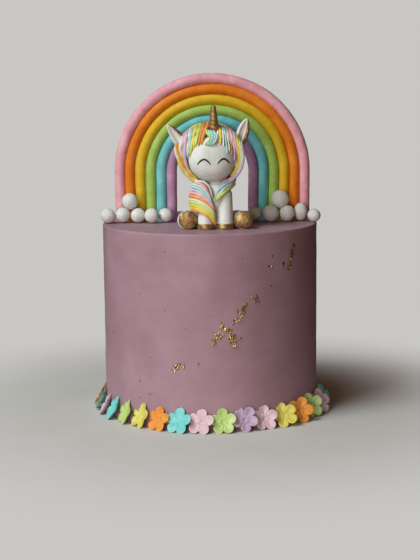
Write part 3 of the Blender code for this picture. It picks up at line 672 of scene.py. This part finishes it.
def build_blossom(index, finish, placing):
    """Gum paste cut with a blossom cutter and pressed with a ball tool: cupped, with a groove down each petal
    and a dimple in the middle."""
    chance = np.random.default_rng(100 + index)
    columns, rings, radius = 150, 12, BLOSSOM_RADIUS * placing["size"]
    turns = around(columns)
    lobe = from_petal(turns)
    petal = np.floor((turns + HALF_PETAL) / (2 * HALF_PETAL)).astype(int) % 5
    longer = 1 + chance.uniform(-0.06, 0.0, 5)[petal] * np.cos(lobe * 2.5)
    curl = 1 + chance.uniform(-0.3, 0.35, 5)[petal]
    reach = petal_reach(turns) * radius * longer
    front, back = [], []
    for share in np.linspace(0.02, 1, rings) ** 0.85:
        r = reach * share
        cup = PETAL_CUP * curl * (r / radius) ** 1.8 + PETAL_CURL * (lobe / 0.45) ** 2 * share ** 2
        crease = PETAL_CREASE * np.exp(-((HALF_PETAL - np.abs(lobe)) / 0.11) ** 2) * min(share * 2, 1.0)
        along = math.sin(math.pi * min(share * 1.15, 1.0)) ** 0.8
        groove = PETAL_GROOVE * np.exp(-(lobe / 0.20) ** 2) * along
        ring = RING_HEIGHT * np.exp(-((r - RING_RADIUS) / 0.7) ** 2) - DIMPLE_DEPTH * np.exp(-(r / 1.2) ** 2)
        y = -(cup - groove - crease + ring)
        edge = BLOSSOM_THICKNESS * 0.5 * math.sqrt(max(0.0, 1 - share ** 7))
        front.append(np.stack([np.sin(turns) * r, y - edge, np.cos(turns) * r], axis=1))
        back.append(np.stack([np.sin(turns) * r, y + edge, np.cos(turns) * r], axis=1))
    points = np.concatenate(front + back[-2::-1])
    points = points @ np.array(Matrix.Rotation(placing["roll"], 3, "Y")).T @ np.array(placing["turn"]).T
    low, high = (np.array(corner) * 1000 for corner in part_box(placing["node"]))
    points += (low + high) / 2 - middle_of(points)
    points += np.array((*placing["inward"], 0.0)) * BLOSSOM_TUCK
    points[:, 2] += max(0.0, 0.05 - points[:, 2].min())
    piece("blossom_%02d" % (index + 1), points, tube_faces(2 * rings - 1, columns), finish, placing["node"],
          placing["slot"], sharp=60)


def build_blossoms(finishes):
    """The ring of blossoms round the foot of the cake, each turned as the solid behind it is."""
    chance = random.Random(3)
    slots = {row["node"]: row["material_slot"] for row in frame["record"]["subparts"]}
    for index in range(FLOWERS):
        bearing = FLOWER_FIRST + index * math.tau / FLOWERS
        roll = chance.uniform(-FLOWER_ROLL, FLOWER_ROLL)
        usual = (FLOWER_TURN, roll, FLOWER_LEAN + chance.uniform(-FLOWER_SWAY, FLOWER_SWAY))
        facing, roll, lean = (math.radians(a) for a in FLOWER_POSES.get(index, usual))
        size = chance.uniform(*FLOWER_SIZES)
        turn = Matrix.Rotation(bearing + facing, 3, "Z") @ Matrix.Rotation(-lean, 3, "X")
        node = "flower_%02d" % (index + 1)
        placing = {"node": node, "slot": slots[node], "turn": turn, "roll": roll, "size": size,
                   "inward": (-math.sin(bearing), math.cos(bearing))}
        build_blossom(index, finishes[slots[node]], placing)


# The unicorn

# How far out on an egg shape a strand is still laid on its front, as a share of its outline
EGG_EDGE = 0.97
# How far in mm a strand stands off: in the fringe, the curl over it and at the crown. The tip has a share
FRINGE_LIFT = 1.0
FORELOCK_LIFT = 1.7
CROWN_LIFT = 0.9
TIP_LIFT = 0.7
# Strands that start above this height come over the crown
CROWN_HEIGHT = 204.0
# The stops over the crown: y, then x as a share of the root's, and how far under the root it may pass
CROWN_STOPS = ((-32.0, 0.84, 9.0), (-38.0, 0.92, 0.6), (-43.5, 1.0, 0.9))


def front_of(centre, radii, x, z, power=2.0):
    """The place on the front of an egg shape at x and z, in mm, and its outward direction. A power above 2
    makes the front flatter."""
    u, w = (x - centre[0]) / radii[0], (z - centre[2]) / radii[2]
    span = math.hypot(u, w)
    if span > EGG_EDGE:
        u, w, span = u * EGG_EDGE / span, w * EGG_EDGE / span, EGG_EDGE
    v = (1 - span ** power) ** (1 / power)
    place = np.array((x, centre[1] - radii[1] * v, z))
    side = max(span, 0.001) ** (power - 2)
    normal = np.array((u * side / radii[0], -v ** (power - 1) / radii[1], w * side / radii[2]))
    return place, normal / np.linalg.norm(normal)


def on_hair(x, z, lift):
    """A point lift mm above the hair or the face, whichever is in front, and the outward direction."""
    hair, hair_normal = front_of(HAIR_CENTRE, HAIR_RADII, x, z)
    face, face_normal = front_of(HEAD_CENTRE, HEAD_RADII, x, z, HEAD_FLATNESS)
    place, normal = (hair, hair_normal) if hair[1] < face[1] else (face, face_normal)
    return place - np.array((0.0, lift, 0.0)), normal


def over_crown(x, top):
    """Places that lead a strand over the crown to its root at x and the height top, each with its outward
    direction."""
    stops = []
    for y, share, drop in CROWN_STOPS:
        place = np.array((x * share, y, 0.0))
        u, v = ((place - HAIR_CENTRE) / HAIR_RADII)[:2]
        rise = HAIR_RADII[2] * math.sqrt(max(1 - u * u - v * v, 0.04))
        place[2] = max(HAIR_CENTRE[2] + rise + CROWN_LIFT, top - drop)
        outward = (place - HAIR_CENTRE) / HAIR_RADII ** 2
        stops.append((place, outward / np.linalg.norm(outward)))
    return stops


# Strands seen from the front: colour, half width in mm, then x and z of each stop in mm, from root to tip
FRINGE = (
    ("orange", 1.40, (-0.4, 215.4), (-2.0, 211.4), (-3.5, 207.9), (-5.5, 200.5)),
    ("orange", 1.20, (-3.2, 215.0), (-4.2, 211.4), (-5.5, 207.5), (-7.4, 199.6)),
    ("lime", 1.35, (-5.6, 214.3), (-6.6, 210.4), (-7.8, 206.7), (-9.5, 198.8)),
    ("yellow", 0.95, (-7.7, 213.5), (-8.3, 210.0), (-9.1, 206.3), (-10.9, 197.6)),
    ("yellow", 1.30, (-9.5, 212.4), (-10.0, 209.0), (-10.7, 205.0), (-12.2, 198.5), (-13.2, 193.0)),
    ("aqua", 0.85, (-11.4, 211.8), (-11.9, 208.0), (-12.6, 203.4), (-13.8, 196.2), (-13.9, 192.4)),
    ("white", 1.00, (-12.8, 211.2), (-13.4, 207.5), (-14.3, 202.5), (-15.0, 195.2), (-14.8, 190.5)),
    ("lilac", 1.60, (-14.8, 210.2), (-15.9, 206.5), (-16.8, 200.8), (-17.2, 193.2), (-16.3, 186.0),
     (-13.6, 179.6)),
    ("pink", 0.95, (-17.0, 208.2), (-18.0, 203.5), (-18.6, 197.4), (-18.1, 190.8), (-16.5, 184.4),
     (-13.6, 178.6)),
    ("white", 1.30, (-18.8, 206.0), (-19.6, 201.5), (-20.0, 196.2), (-19.1, 190.8), (-17.2, 184.4),
     (-14.0, 178.8)),
    ("white", 0.90, (5.2, 212.8), (6.0, 209.0), (6.3, 205.2), (6.2, 201.8)),
    ("yellow", 1.30, (7.2, 212.8), (7.9, 209.6), (8.1, 205.3), (7.8, 200.6)),
    ("white", 0.75, (8.9, 212.6), (9.6, 208.8), (9.9, 204.2), (10.3, 199.8)),
    ("aqua", 0.90, (10.0, 212.4), (10.9, 208.6), (11.5, 204.0), (12.8, 194.6)),
    ("white", 0.70, (11.3, 212.0), (12.4, 207.4), (13.2, 202.6), (14.3, 195.6)),
    ("orange", 1.20, (12.3, 211.8), (13.8, 207.0), (14.9, 201.8), (16.0, 193.2)),
    ("lilac", 1.25, (13.4, 211.4), (15.7, 206.4), (17.2, 199.6), (17.8, 192.6), (17.8, 188.6)),
    ("pink", 1.10, (15.4, 210.3), (17.6, 205.2), (19.1, 198.6), (19.4, 191.4), (18.3, 184.8)),
    ("yellow", 0.95, (17.4, 208.6), (19.4, 203.8), (20.7, 197.8), (20.8, 190.2), (19.0, 182.8),
     (15.2, 177.8)),
    ("lime", 0.95, (19.2, 206.6), (20.9, 202.2), (22.0, 196.0), (21.9, 188.8), (19.9, 181.8),
     (15.6, 176.6)),
    ("pink", 0.90, (20.8, 204.6), (22.2, 200.4), (22.9, 194.6), (22.3, 187.6), (19.8, 180.8), (14.6, 175.6),
     (8.6, 172.6)),
    ("aqua", 0.95, (22.2, 202.2), (23.2, 197.6), (23.6, 191.6), (22.4, 185.0), (19.0, 179.0),
     (14.2, 175.0)),
    ("lilac", 1.00, (21.9, 197.4), (23.4, 193.4), (23.6, 188.4), (21.8, 182.4), (17.6, 176.8),
     (11.6, 173.0), (6.0, 171.6)),
    ("orange", 1.45, (-22.8, 201.4), (-22.6, 197.4), (-20.4, 191.8), (-17.8, 185.8), (-13.8, 179.6),
     (-9.2, 176.0)),
    ("yellow", 1.20, (-21.2, 200.6), (-21.2, 196.6), (-18.8, 190.2), (-16.2, 184.0), (-12.2, 178.6),
     (-8.4, 175.6)),
    ("white", 1.10, (-23.4, 199.6), (-23.0, 194.6), (-20.8, 188.6), (-17.5, 182.6), (-13.0, 177.2),
     (-6.6, 173.6)),
    ("yellow", 1.20, (-22.2, 192.6), (-20.3, 187.2), (-16.9, 181.2), (-12.2, 176.0), (-6.8, 173.0),
     (-1.8, 172.0)),
    ("lilac", 1.05, (-20.6, 187.8), (-17.8, 182.4), (-13.4, 177.0), (-8.4, 173.6), (-3.2, 171.6),
     (0.8, 171.2)),
)

# The curl that falls from the foot of the horn
FORELOCK = (
    ("lime", 0.95, (-0.9, 210.6), (-1.4, 208.6), (0.6, 206.6), (0.8, 204.4), (-0.8, 202.2), (-3.2, 200.6)),
    ("aqua", 1.05, (0.6, 210.4), (0.2, 208.8), (2.2, 206.8), (2.5, 204.6), (1.0, 202.0), (-1.6, 200.2)),
    ("aqua", 1.00, (2.2, 210.2), (2.0, 208.6), (3.9, 206.8), (4.2, 204.4), (2.6, 201.6), (0.2, 200.2)),
    ("white", 0.80, (3.8, 210.0), (3.8, 208.4), (5.3, 206.4), (5.3, 204.2), (4.0, 201.8), (1.8, 200.4)),
)

# Stripes of the lock over the chest, from behind the shoulder round to its point: colour, then stops as above
CHEST_LOCK = (
    ("white", 0.95, (-8.4, 174.6), (-4.0, 174.2), (-0.6, 171.4), (1.2, 167.2), (2.0, 163.0)),
    ("pink", 1.20, (-9.4, 173.4), (-6.0, 172.6), (-3.0, 170.4), (-0.9, 166.6), (0.8, 162.6)),
    ("white", 0.95, (-10.9, 172.2), (-7.0, 171.4), (-3.6, 168.9), (-0.8, 165.0), (1.6, 160.6)),
    ("aqua", 1.25, (-11.6, 170.4), (-8.0, 169.6), (-4.2, 166.9), (-0.9, 163.2), (2.3, 158.4)),
    ("lilac", 1.20, (-12.1, 168.3), (-8.4, 167.5), (-4.2, 165.0), (-0.4, 161.2), (2.9, 156.6)),
    ("pink", 1.15, (-12.7, 166.3), (-8.8, 165.7), (-4.2, 163.4), (0.0, 159.6), (3.3, 154.8)),
    ("orange", 1.55, (-13.1, 163.9), (-9.2, 163.4), (-4.4, 161.3), (0.2, 157.5), (3.6, 152.8)),
    ("white", 1.05, (-13.4, 161.6), (-9.6, 161.2), (-4.6, 159.3), (0.2, 155.6), (3.8, 150.6)),
    ("lime", 1.45, (-13.4, 159.5), (-9.6, 159.2), (-4.6, 157.4), (0.3, 153.7), (4.0, 148.6)),
    ("yellow", 1.40, (-13.1, 157.3), (-9.4, 157.0), (-4.4, 155.2), (0.5, 151.4), (4.1, 146.4)),
    ("yellow", 1.15, (-12.4, 155.3), (-8.8, 155.0), (-4.0, 153.2), (0.7, 149.4), (4.0, 144.6)),
    ("orange", 0.85, (-12.2, 153.8), (-8.0, 153.4), (-3.6, 151.6), (1.0, 147.8), (3.5, 143.7)),
)
SIDE_LOCK = (
    ("lilac", 1.1, (18.2, -45.5, 177.6), (15.4, -49.4, 176.0), (11.2, -52.0, 174.2), (7.0, -53.0, 171.2)),
    ("aqua", 1.5, (18.4, -45.5, 175.6), (15.4, -50.0, 174.0), (10.8, -53.0, 171.8), (6.6, -53.6, 168.6),
     (5.3, -53.4, 165.6)),
    ("white", 0.8, (18.2, -45.5, 173.8), (15.0, -50.4, 172.2), (10.0, -53.4, 169.0), (5.6, -53.8, 163.8)),
    ("lime", 1.75, (17.8, -45.5, 172.2), (14.6, -50.4, 170.4), (9.8, -53.4, 166.2), (6.0, -53.8, 162.4),
     (3.2, -53.4, 159.6)),
)


def chest_depth(x):
    """The y of the lock over the chest at x, in mm: it bends back towards the shoulder."""
    return CHEST_LOCK_Y + 0.030 * min(x - 1.0, 0.0) ** 2


def hair_strand(places, outward, width, height, tip):
    """A strand through the places, round at its root and drawn out to its tip."""
    count = 30
    t = np.linspace(0, 1, count)
    known = np.linspace(0, 1, len(outward))
    outward = np.stack([np.interp(t, known, np.array(outward)[:, k]) for k in range(3)], axis=1)
    drawn = 1 - 0.45 * np.clip((t - 0.55) / 0.45, 0, 1) ** 1.6
    shape = rounded_ends(count, 0.6, tip, 0.10) * drawn
    return strand(smooth_path(places, count), outward, width * shape, height * np.sqrt(shape), 14)


def back_strands():
    """The hair behind: strands combed from the crown down to the nape, each with its colour."""
    chance = random.Random(41)
    order = ("lilac", "aqua", "yellow", "lime", "orange", "pink", "white")
    count, first, span = 25, 88, 184
    for i in range(count):
        bearing = math.radians(first + span * i / (count - 1))
        places, outward = [], []
        for height in (78, 55, 25, -5, -34, -56):
            h = math.radians(height + chance.uniform(-2, 2))
            b = bearing + math.radians(chance.uniform(-1.5, 1.5)) + 0.05 * math.sin(h * 3 + i)
            direction = np.array((math.sin(b) * math.cos(h), -math.cos(b) * math.cos(h), math.sin(h)))
            places.append(HAIR_CENTRE + direction * (HAIR_RADII + CROWN_LIFT))
            outward.append(direction)
        width = chance.uniform(1.9, 2.4)
        yield order[(i * 3) % len(order)], hair_strand(places, outward, width, height=1.5, tip=0.25)


def build_hair(finishes):
    """Every strand of the mane, gathered by colour into one piece each, over a core of darker beige paste
    that is painted shade in the gaps between the strands.
    """
    tufts = {colour: [] for colour in HAIR if colour != "gap_shade_core"}

    for strands, lift in ((FRINGE, FRINGE_LIFT), (FORELOCK, FORELOCK_LIFT)):
        for colour, width, *stops in strands:
            laid = [on_hair(x, z, lift) for x, z in stops[:-1]] + [on_hair(*stops[-1], lift * TIP_LIFT)]
            if strands is FRINGE and stops[0][1] > CROWN_HEIGHT:
                laid = over_crown(*stops[0]) + laid[1:]
            places, outward = zip(*laid)
            tufts[colour].append(hair_strand(places, outward, width, height=1.35, tip=0.10))

    for colour, width, *stops in CHEST_LOCK:
        root_x, root_z = stops[0]
        places = [(root_x + 1.8, -44.0, root_z + 0.5), (root_x + 0.1, -47.4, root_z + 0.2)]
        places += [(x, chest_depth(x), z) for x, z in stops]
        outward = [(-1.0, 0.1, 0.1), (-1.0, -0.4, 0.1)] + [(x * 0.05, -1.0, 0.15) for x, _ in stops]
        tufts[colour].append(hair_strand(places, outward, width, height=1.4, tip=0.22))

    for colour, width, *stops in SIDE_LOCK:
        outward = [(0.35, -1.0, 0.2)] * len(stops)
        tufts[colour].append(hair_strand(stops, outward, width, height=1.5, tip=0.12))

    for colour, part in back_strands():
        tufts[colour].append(part)

    for colour, parts in tufts.items():
        points, faces = merged(parts)
        points[:, 2] = np.maximum(points[:, 2], CAKE_HEIGHT + 0.2)
        piece("mane_" + colour, points, faces, finishes[colour], None, "mane", sharp=60)

    unit, unit_faces = round_ball()
    cap = HAIR_CENTRE + unit * HAIR_RADII
    cap[:, 1] += np.clip((-unit[:, 1] - 0.30) / 0.5, 0, 1) * FACE_OPENING
    lock = LOCK_CENTRE + unit * LOCK_RADII
    shoulder = SHOULDER_CENTRE + unit * SHOULDER_RADII
    points, faces = merged([(cap, unit_faces), (lock, unit_faces), (shoulder, unit_faces)])
    # The core's darker beige is painted shade between the strands
    piece("mane_gap_shade_core", points, faces, finishes["gap_shade_core"], "unicorn_mane", "mane", sharp=180)


def build_head(finish):
    """The smooth round head, with a soft muzzle."""
    unit, faces = round_ball()
    span = np.minimum(np.hypot(unit[:, 0], unit[:, 2]), 1.0)
    flat = -(1 - span ** HEAD_FLATNESS) ** (1 / HEAD_FLATNESS)
    unit = np.stack([unit[:, 0], np.where(unit[:, 1] < 0, flat, unit[:, 1]), unit[:, 2]], axis=1)
    points = HEAD_CENTRE + unit * HEAD_RADII
    from_muzzle = (points[:, (0, 2)] - MUZZLE_MIDDLE) / MUZZLE_SPREAD
    muzzle = np.exp(-(from_muzzle ** 2).sum(axis=1))
    points[:, 1] -= np.where(unit[:, 1] < 0, muzzle * MUZZLE_RISE, 0)
    piece("figure_head", points, faces, finish, "unicorn_head", "white", sharp=180)


def build_ear(side, root, tip, half_widths, finishes):
    """A leaf of paste folded to a scoop: a thick round rim each side of a hollow, with gold on its right-hand
    rim and its back. On the right-hand rim the gold is painted shade on the side turned from the light."""
    root, tip = np.array(root), np.array(tip)
    along = tip - root
    axis = along / np.linalg.norm(along)
    across = np.cross((0.0, 1.0, 0.0), axis)
    across /= np.linalg.norm(across)
    forward = np.cross(axis, across)
    forward *= -np.sign(forward[1])
    rows, columns = 34, 48
    points = []
    for s in np.linspace(0, 1, rows):
        width = float(np.interp(s, EAR_SHARES, half_widths))
        depth = EAR_HALF_DEPTH * (1 - 0.45 * s ** 2) * min(1.0, width / 1.6)
        scooped = EAR_HOLLOW_DEPTH * depth * math.sin(math.pi * min(s * 0.98 + 0.05, 1)) ** 0.7
        for turn in around(columns):
            c, d = math.cos(turn), math.sin(turn)
            hollow = scooped * math.exp(-(c / EAR_HOLLOW_WIDTH) ** 4) if d > 0 else 0.0
            points.append(root + along * s + across * (c * width) + forward * (d * depth - hollow))
    faces = tube_faces(rows, columns)
    # 0 is bare paste and 1 is gold, which on the right-hand rim is painted shade
    painted = []
    for face in faces:
        turn = 2 * math.pi * (face[0] % columns + 0.5) / columns
        rightward = math.cos(turn) * across[0]
        start = EAR_SHADE_GOLD_BACK if math.sin(turn) < 0 else EAR_SHADE_GOLD_FRONT
        painted.append(1 if len(face) == 4 and rightward > start else 0)
    looks = [finishes["white"], finishes["gold"]]
    piece("ear_" + side, points, faces, looks, None, "white", painted, sharp=70)


def build_horn(finish):
    """A tapered roll of paste wound round itself, so that one ridge climbs it."""
    rows, columns, tip_share = 170, 44, 0.07
    axis = HORN_TIP - HORN_BASE
    points = []
    for s in np.linspace(0, 1, rows):
        into_tip = max(0.0, 1 - (1 - s) / tip_share)
        outline = HORN_RADIUS * (1 - HORN_TAPER * s) * math.sqrt(max(1 - into_tip ** 2, 0.01))
        for turn in around(columns):
            ridge = abs(math.sin(math.pi * HORN_WINDS * s + turn / 2)) ** 0.7
            r = outline * (HORN_GROOVE + HORN_RIDGE * ridge)
            points.append(HORN_BASE + axis * s + np.array((math.cos(turn) * r, math.sin(turn) * r, 0.0)))
    piece("figure_horn", points, tube_faces(rows, columns), finish, "unicorn_horn", "gold", sharp=70)


def build_body(finish):
    """The seated trunk with its chest and haunches."""
    unit, unit_faces = round_ball()
    parts = [BODY_CENTRE + unit * BODY_RADII, CHEST_CENTRE + unit * CHEST_RADII]
    parts += [HAUNCH_MIDDLE + side * HAUNCH_APART + unit * HAUNCH_RADII for side in (-1, 1)]
    points, faces = merged([(part, unit_faces) for part in parts])
    points[:, 2] = np.maximum(points[:, 2], CAKE_HEIGHT)
    piece("figure_body", points, faces, finish, "unicorn_body", "white", sharp=180)


def build_front_leg(side, x, radius, finishes):
    """A straight front leg with a painted hoof."""
    rows = 60
    foot = CAKE_HEIGHT - REST_SINK
    path = smooth_path([(x, y, foot + height) for y, height in FRONT_LEG_STOPS], rows)
    s = np.linspace(0, 1, rows)
    shoulder = np.sqrt(np.clip(1 - np.clip((s - 0.80) / 0.2, 0, 1) ** 2 * 0.9, 0, 1))
    width = radius * (1.04 - 0.13 * s) * shoulder
    forward = (0.0, -1.0, 0.0)
    points, faces = strand(path, np.tile(forward, (rows, 1)), width, width, 40)
    piece("figure_front_leg_" + side, points, faces, finishes["white"], "unicorn_front_leg_" + side, "white")
    ring = np.array([(x, FRONT_LEG_STOPS[0][0], foot + height) for height in HOOF_HEIGHTS])
    swell = radius + HOOF_SWELL
    points, faces = strand(ring, np.tile(forward, (len(ring), 1)), swell, swell, 48)
    piece("hoof_" + side, points, faces, finishes["gold"], None, "gold", sharp=50)


def build_hind_leg(side, sign, x, radius, finishes):
    """A hind leg that lies forward on the icing and shows the round golden sole of its foot."""
    rows = 50
    z = CAKE_HEIGHT + radius
    path = smooth_path([(x - sign * inward, y, z) for inward, y in HIND_LEG_STOPS], rows)
    width = radius * (0.86 + 0.17 * np.linspace(0, 1, rows)) * rounded_ends(rows, 0.3, 0.9, 0.10)
    points, faces = strand(path, np.tile((0.0, 0.0, 1.0), (rows, 1)), width, width, 44)
    points[:, 2] = np.maximum(points[:, 2], CAKE_HEIGHT - REST_SINK)
    piece("figure_hind_leg_" + side, points, faces, finishes["white"], "unicorn_hind_leg_" + side, "white")
    unit, unit_faces = round_ball()
    sole = np.array((x + 0.35, SOLE_Y, z + 0.1)) + unit * (radius + 0.10, SOLE_HALF_DEPTH, radius + 0.05)
    sole += unit * wobble(sole, size=3.2, depth=0.28, seed=70 + sign)[:, None]
    sole[:, 2] = np.maximum(sole[:, 2], CAKE_HEIGHT - REST_SINK)
    piece("sole_" + side, sole, unit_faces, finishes["gold"], None, "gold", sharp=180)


def build_eyes(finish):
    """Two smiling eyes, each an arched line of ink that thins at its ends."""
    s = np.linspace(-1, 1, 25)
    for side, (middle, half, top, drop) in EYES.items():
        arch = [(middle + half * t, top - drop * abs(t) ** 1.8) for t in s]
        laid = [front_of(HEAD_CENTRE, HEAD_RADII, x, z, HEAD_FLATNESS) for x, z in arch]
        path = np.array([place + normal * EYE_LIFT for place, normal in laid])
        outward = np.array([normal for _, normal in laid])
        width = EYE_LINE_HALF_WIDTH * (1 - 0.50 * np.abs(s) ** 2.5)
        points, faces = strand(path, outward, width, np.full(len(s), EYE_LINE_HALF_HEIGHT), 8)
        piece("eye_" + side, points, faces, finish, None, "white", sharp=80)


def build_tail(finishes):
    """A short tail of three coloured strands, curled on the icing behind the trunk."""
    rows = 24
    s = np.linspace(0, 1, rows)
    width = 1.9 * rounded_ends(rows, 0.8, 0.2, 0.2) * (1 - 0.4 * s ** 2)
    for i, colour in enumerate(("lilac", "yellow", "aqua")):
        stops = [(3.0 + i * 0.8, -30.5, 148.6 + i), (5.4 + 2.0 * i, -24.0, 147.2 - 1.6 * i),
                 (13.2 + i, -22.4 + i, 142.4)]
        outward = np.tile((0.2, 0.6, 1.0), (rows, 1))
        points, faces = strand(smooth_path(stops, rows), outward, width, width, 12)
        points[:, 2] = np.maximum(points[:, 2], CAKE_HEIGHT)
        piece("tail_" + colour, points, faces, finishes[colour], None, "mane", sharp=60)


# Light, floor and camera

# Each light: its bearing from the front and its height in degrees, its distance and width in metres, its
# watts and its colour. The low part of the window reaches what the figure shades from the high part
LIGHTS = {
    "window_high": (-50, 46, 1.8, 0.9, 24.5, (0.88, 0.98, 1.0)),
    "window_low": (-26, 8, 1.8, 0.9, 11.0, (1.0, 0.94, 0.88)),
    "room_fill": (-12, 1, 1.8, 0.9, 5.0, (1.0, 0.83, 0.67)),
    "warm_glow": (112, 12, 1.6, 0.9, 1.0, (1.0, 0.66, 0.50)),
}
# How high the lights aim, in metres
LIGHT_AIM = 0.12
# The faint light from all round, as linear red, green and blue
SURROUND = (0.044, 0.024, 0.013)
# The floor in metres: its radius and where it starts to fade
FLOOR_RADIUS = 0.30
FLOOR_FADE = 0.10
# Where the photograph was taken from, in metres, millimetres of lens and radians
CAMERA_PLACE = Vector((0.0, -1.0, 0.2537))
CAMERA_LENS = 86.24
CAMERA_PITCH = 0.15688
CAMERA_YAW = -0.00025
CAMERA_ROLL = -0.00986


def soft_light(name, bearing, height, distance, width, power, colour):
    """A round soft light aimed at the middle of the cake."""
    light = bpy.data.lights.new(name, "AREA")
    light.shape = "DISK"
    light.size = width
    light.energy = power
    light.color = colour
    lamp = bpy.data.objects.new(name, light)
    bearing, height = math.radians(bearing), math.radians(height)
    away = Vector((math.sin(bearing) * math.cos(height), -math.cos(bearing) * math.cos(height),
                   math.sin(height)))
    lamp.location = away * distance + Vector((0, 0, LIGHT_AIM))
    lamp.rotation_euler = away.to_track_quat("Z", "Y").to_euler()
    bpy.context.scene.collection.objects.link(lamp)


def build_stage():
    """A pale floor that fades into the backdrop, and soft light: a window on the left, a warm fill from the
    front and a faint warm glow from the right."""
    material, tree, shader, place = new_finish("pale_floor", {"Roughness": 0.8})
    grain = add(tree, "ShaderNodeTexNoise", {"Vector": place, "Scale": per_mm(40), "Detail": 3.0})
    colour = add(tree, "ShaderNodeValToRGB", {"Fac": grain.outputs["Fac"]},
                 stops=((0.3, "D6D2CC"), (0.7, "DAD7D2")))
    tree.links.new(colour.outputs["Color"], shader.inputs["Base Color"])
    reach = add(tree, "ShaderNodeVectorMath", {0: place}, operation="LENGTH")
    fade = add(tree, "ShaderNodeMapRange", {"Value": reach.outputs["Value"], "From Min": FLOOR_FADE,
                                            "From Max": FLOOR_RADIUS, "To Min": 1.0, "To Max": 0.0},
               interpolation_type="SMOOTHSTEP")
    tree.links.new(fade.outputs[0], shader.inputs["Alpha"])
    bm = bmesh.new()
    bmesh.ops.create_circle(bm, cap_ends=True, segments=96, radius=FLOOR_RADIUS)
    mesh = bpy.data.meshes.new("floor")
    bm.to_mesh(mesh)
    bm.free()
    mesh.materials.append(material)
    floor = bpy.data.objects.new("floor", mesh)
    bpy.context.scene.collection.objects.link(floor)

    for name, light in LIGHTS.items():
        soft_light(name, *light)

    world = bpy.data.worlds.new("studio")
    world.use_nodes = True
    tree = world.node_tree
    surround = tree.nodes["Background"]
    surround.inputs["Color"].default_value = (*SURROUND, 1.0)
    surround.inputs["Strength"].default_value = 1.0
    seen = add(tree, "ShaderNodeBackground", {"Color": linear("C9C7C4"), "Strength": 1.0})
    path = add(tree, "ShaderNodeLightPath")
    both = add(tree, "ShaderNodeMixShader", {0: path.outputs["Is Camera Ray"], 1: surround.outputs[0],
                                             2: seen.outputs[0]})
    tree.links.new(both.outputs[0], tree.nodes["World Output"].inputs["Surface"])
    bpy.context.scene.world = world


def build_camera():
    """The camera at the photograph's place and angle."""
    forward = Vector((math.sin(CAMERA_YAW) * math.cos(CAMERA_PITCH),
                      math.cos(CAMERA_YAW) * math.cos(CAMERA_PITCH), -math.sin(CAMERA_PITCH)))
    right = Vector((math.cos(CAMERA_YAW), -math.sin(CAMERA_YAW), 0))
    up = right.cross(forward)
    turned_right = right * math.cos(CAMERA_ROLL) + up * math.sin(CAMERA_ROLL)
    turned_up = up * math.cos(CAMERA_ROLL) - right * math.sin(CAMERA_ROLL)
    camera = bpy.data.cameras.new("camera")
    camera.sensor_width = 36.0
    camera.lens = CAMERA_LENS
    camera.clip_start = 0.01
    camera.clip_end = 50.0
    obj = bpy.data.objects.new("camera", camera)
    turn = Matrix((turned_right, turned_up, -forward)).transposed()
    obj.matrix_world = Matrix.Translation(CAMERA_PLACE) @ turn.to_4x4()
    bpy.context.scene.collection.objects.link(obj)
    bpy.context.scene.camera = obj


def main():
    """Every piece in its place, then the floor, the light and the camera."""
    paste = {colour: rolled_sugar_paste("rolled_sugar_paste_" + colour, *tones)
             for colour, tones in PASTE.items()}
    petals = {colour: rolled_sugar_paste("pressed_gum_paste_" + colour, *tones, roughness=0.55, softness=0.06)
              for colour, tones in PETAL.items()}
    hair = {colour: rolled_sugar_paste("drawn_sugar_paste_" + colour, *tones, roughness=0.5, softness=0.10)
            for colour, tones in HAIR.items()}
    gold = brushed_gold_paint()
    build_icing(smoothed_buttercream())
    build_gold_leaf(crumpled_gold_leaf())
    for index, colour in enumerate(ROPES):
        build_rope(index, colour, paste[colour])
    unit = round_ball()
    crazed = crazed_sugar_paste()
    for index, (node, (radius, tall)) in enumerate(CLOUDS.items()):
        build_cloud(node, radius, tall, crazed, index * 3.7, unit)
    build_blossoms(petals)
    build_head(paste["white"])
    build_horn(gold)
    build_body(paste["white"])
    figure = {"white": paste["white"], "gold": gold}
    for side, ear in EARS.items():
        build_ear(side, *ear, figure)
    for side, leg in FRONT_LEGS.items():
        build_front_leg(side, *leg, figure)
    for side, leg in HIND_LEGS.items():
        build_hind_leg(side, *leg, figure)
    build_hair(hair)
    build_tail(hair)
    build_eyes(food_pen())
    build_stage()
    build_camera()
    bpy.context.scene.view_settings.view_transform = "Standard"


main()
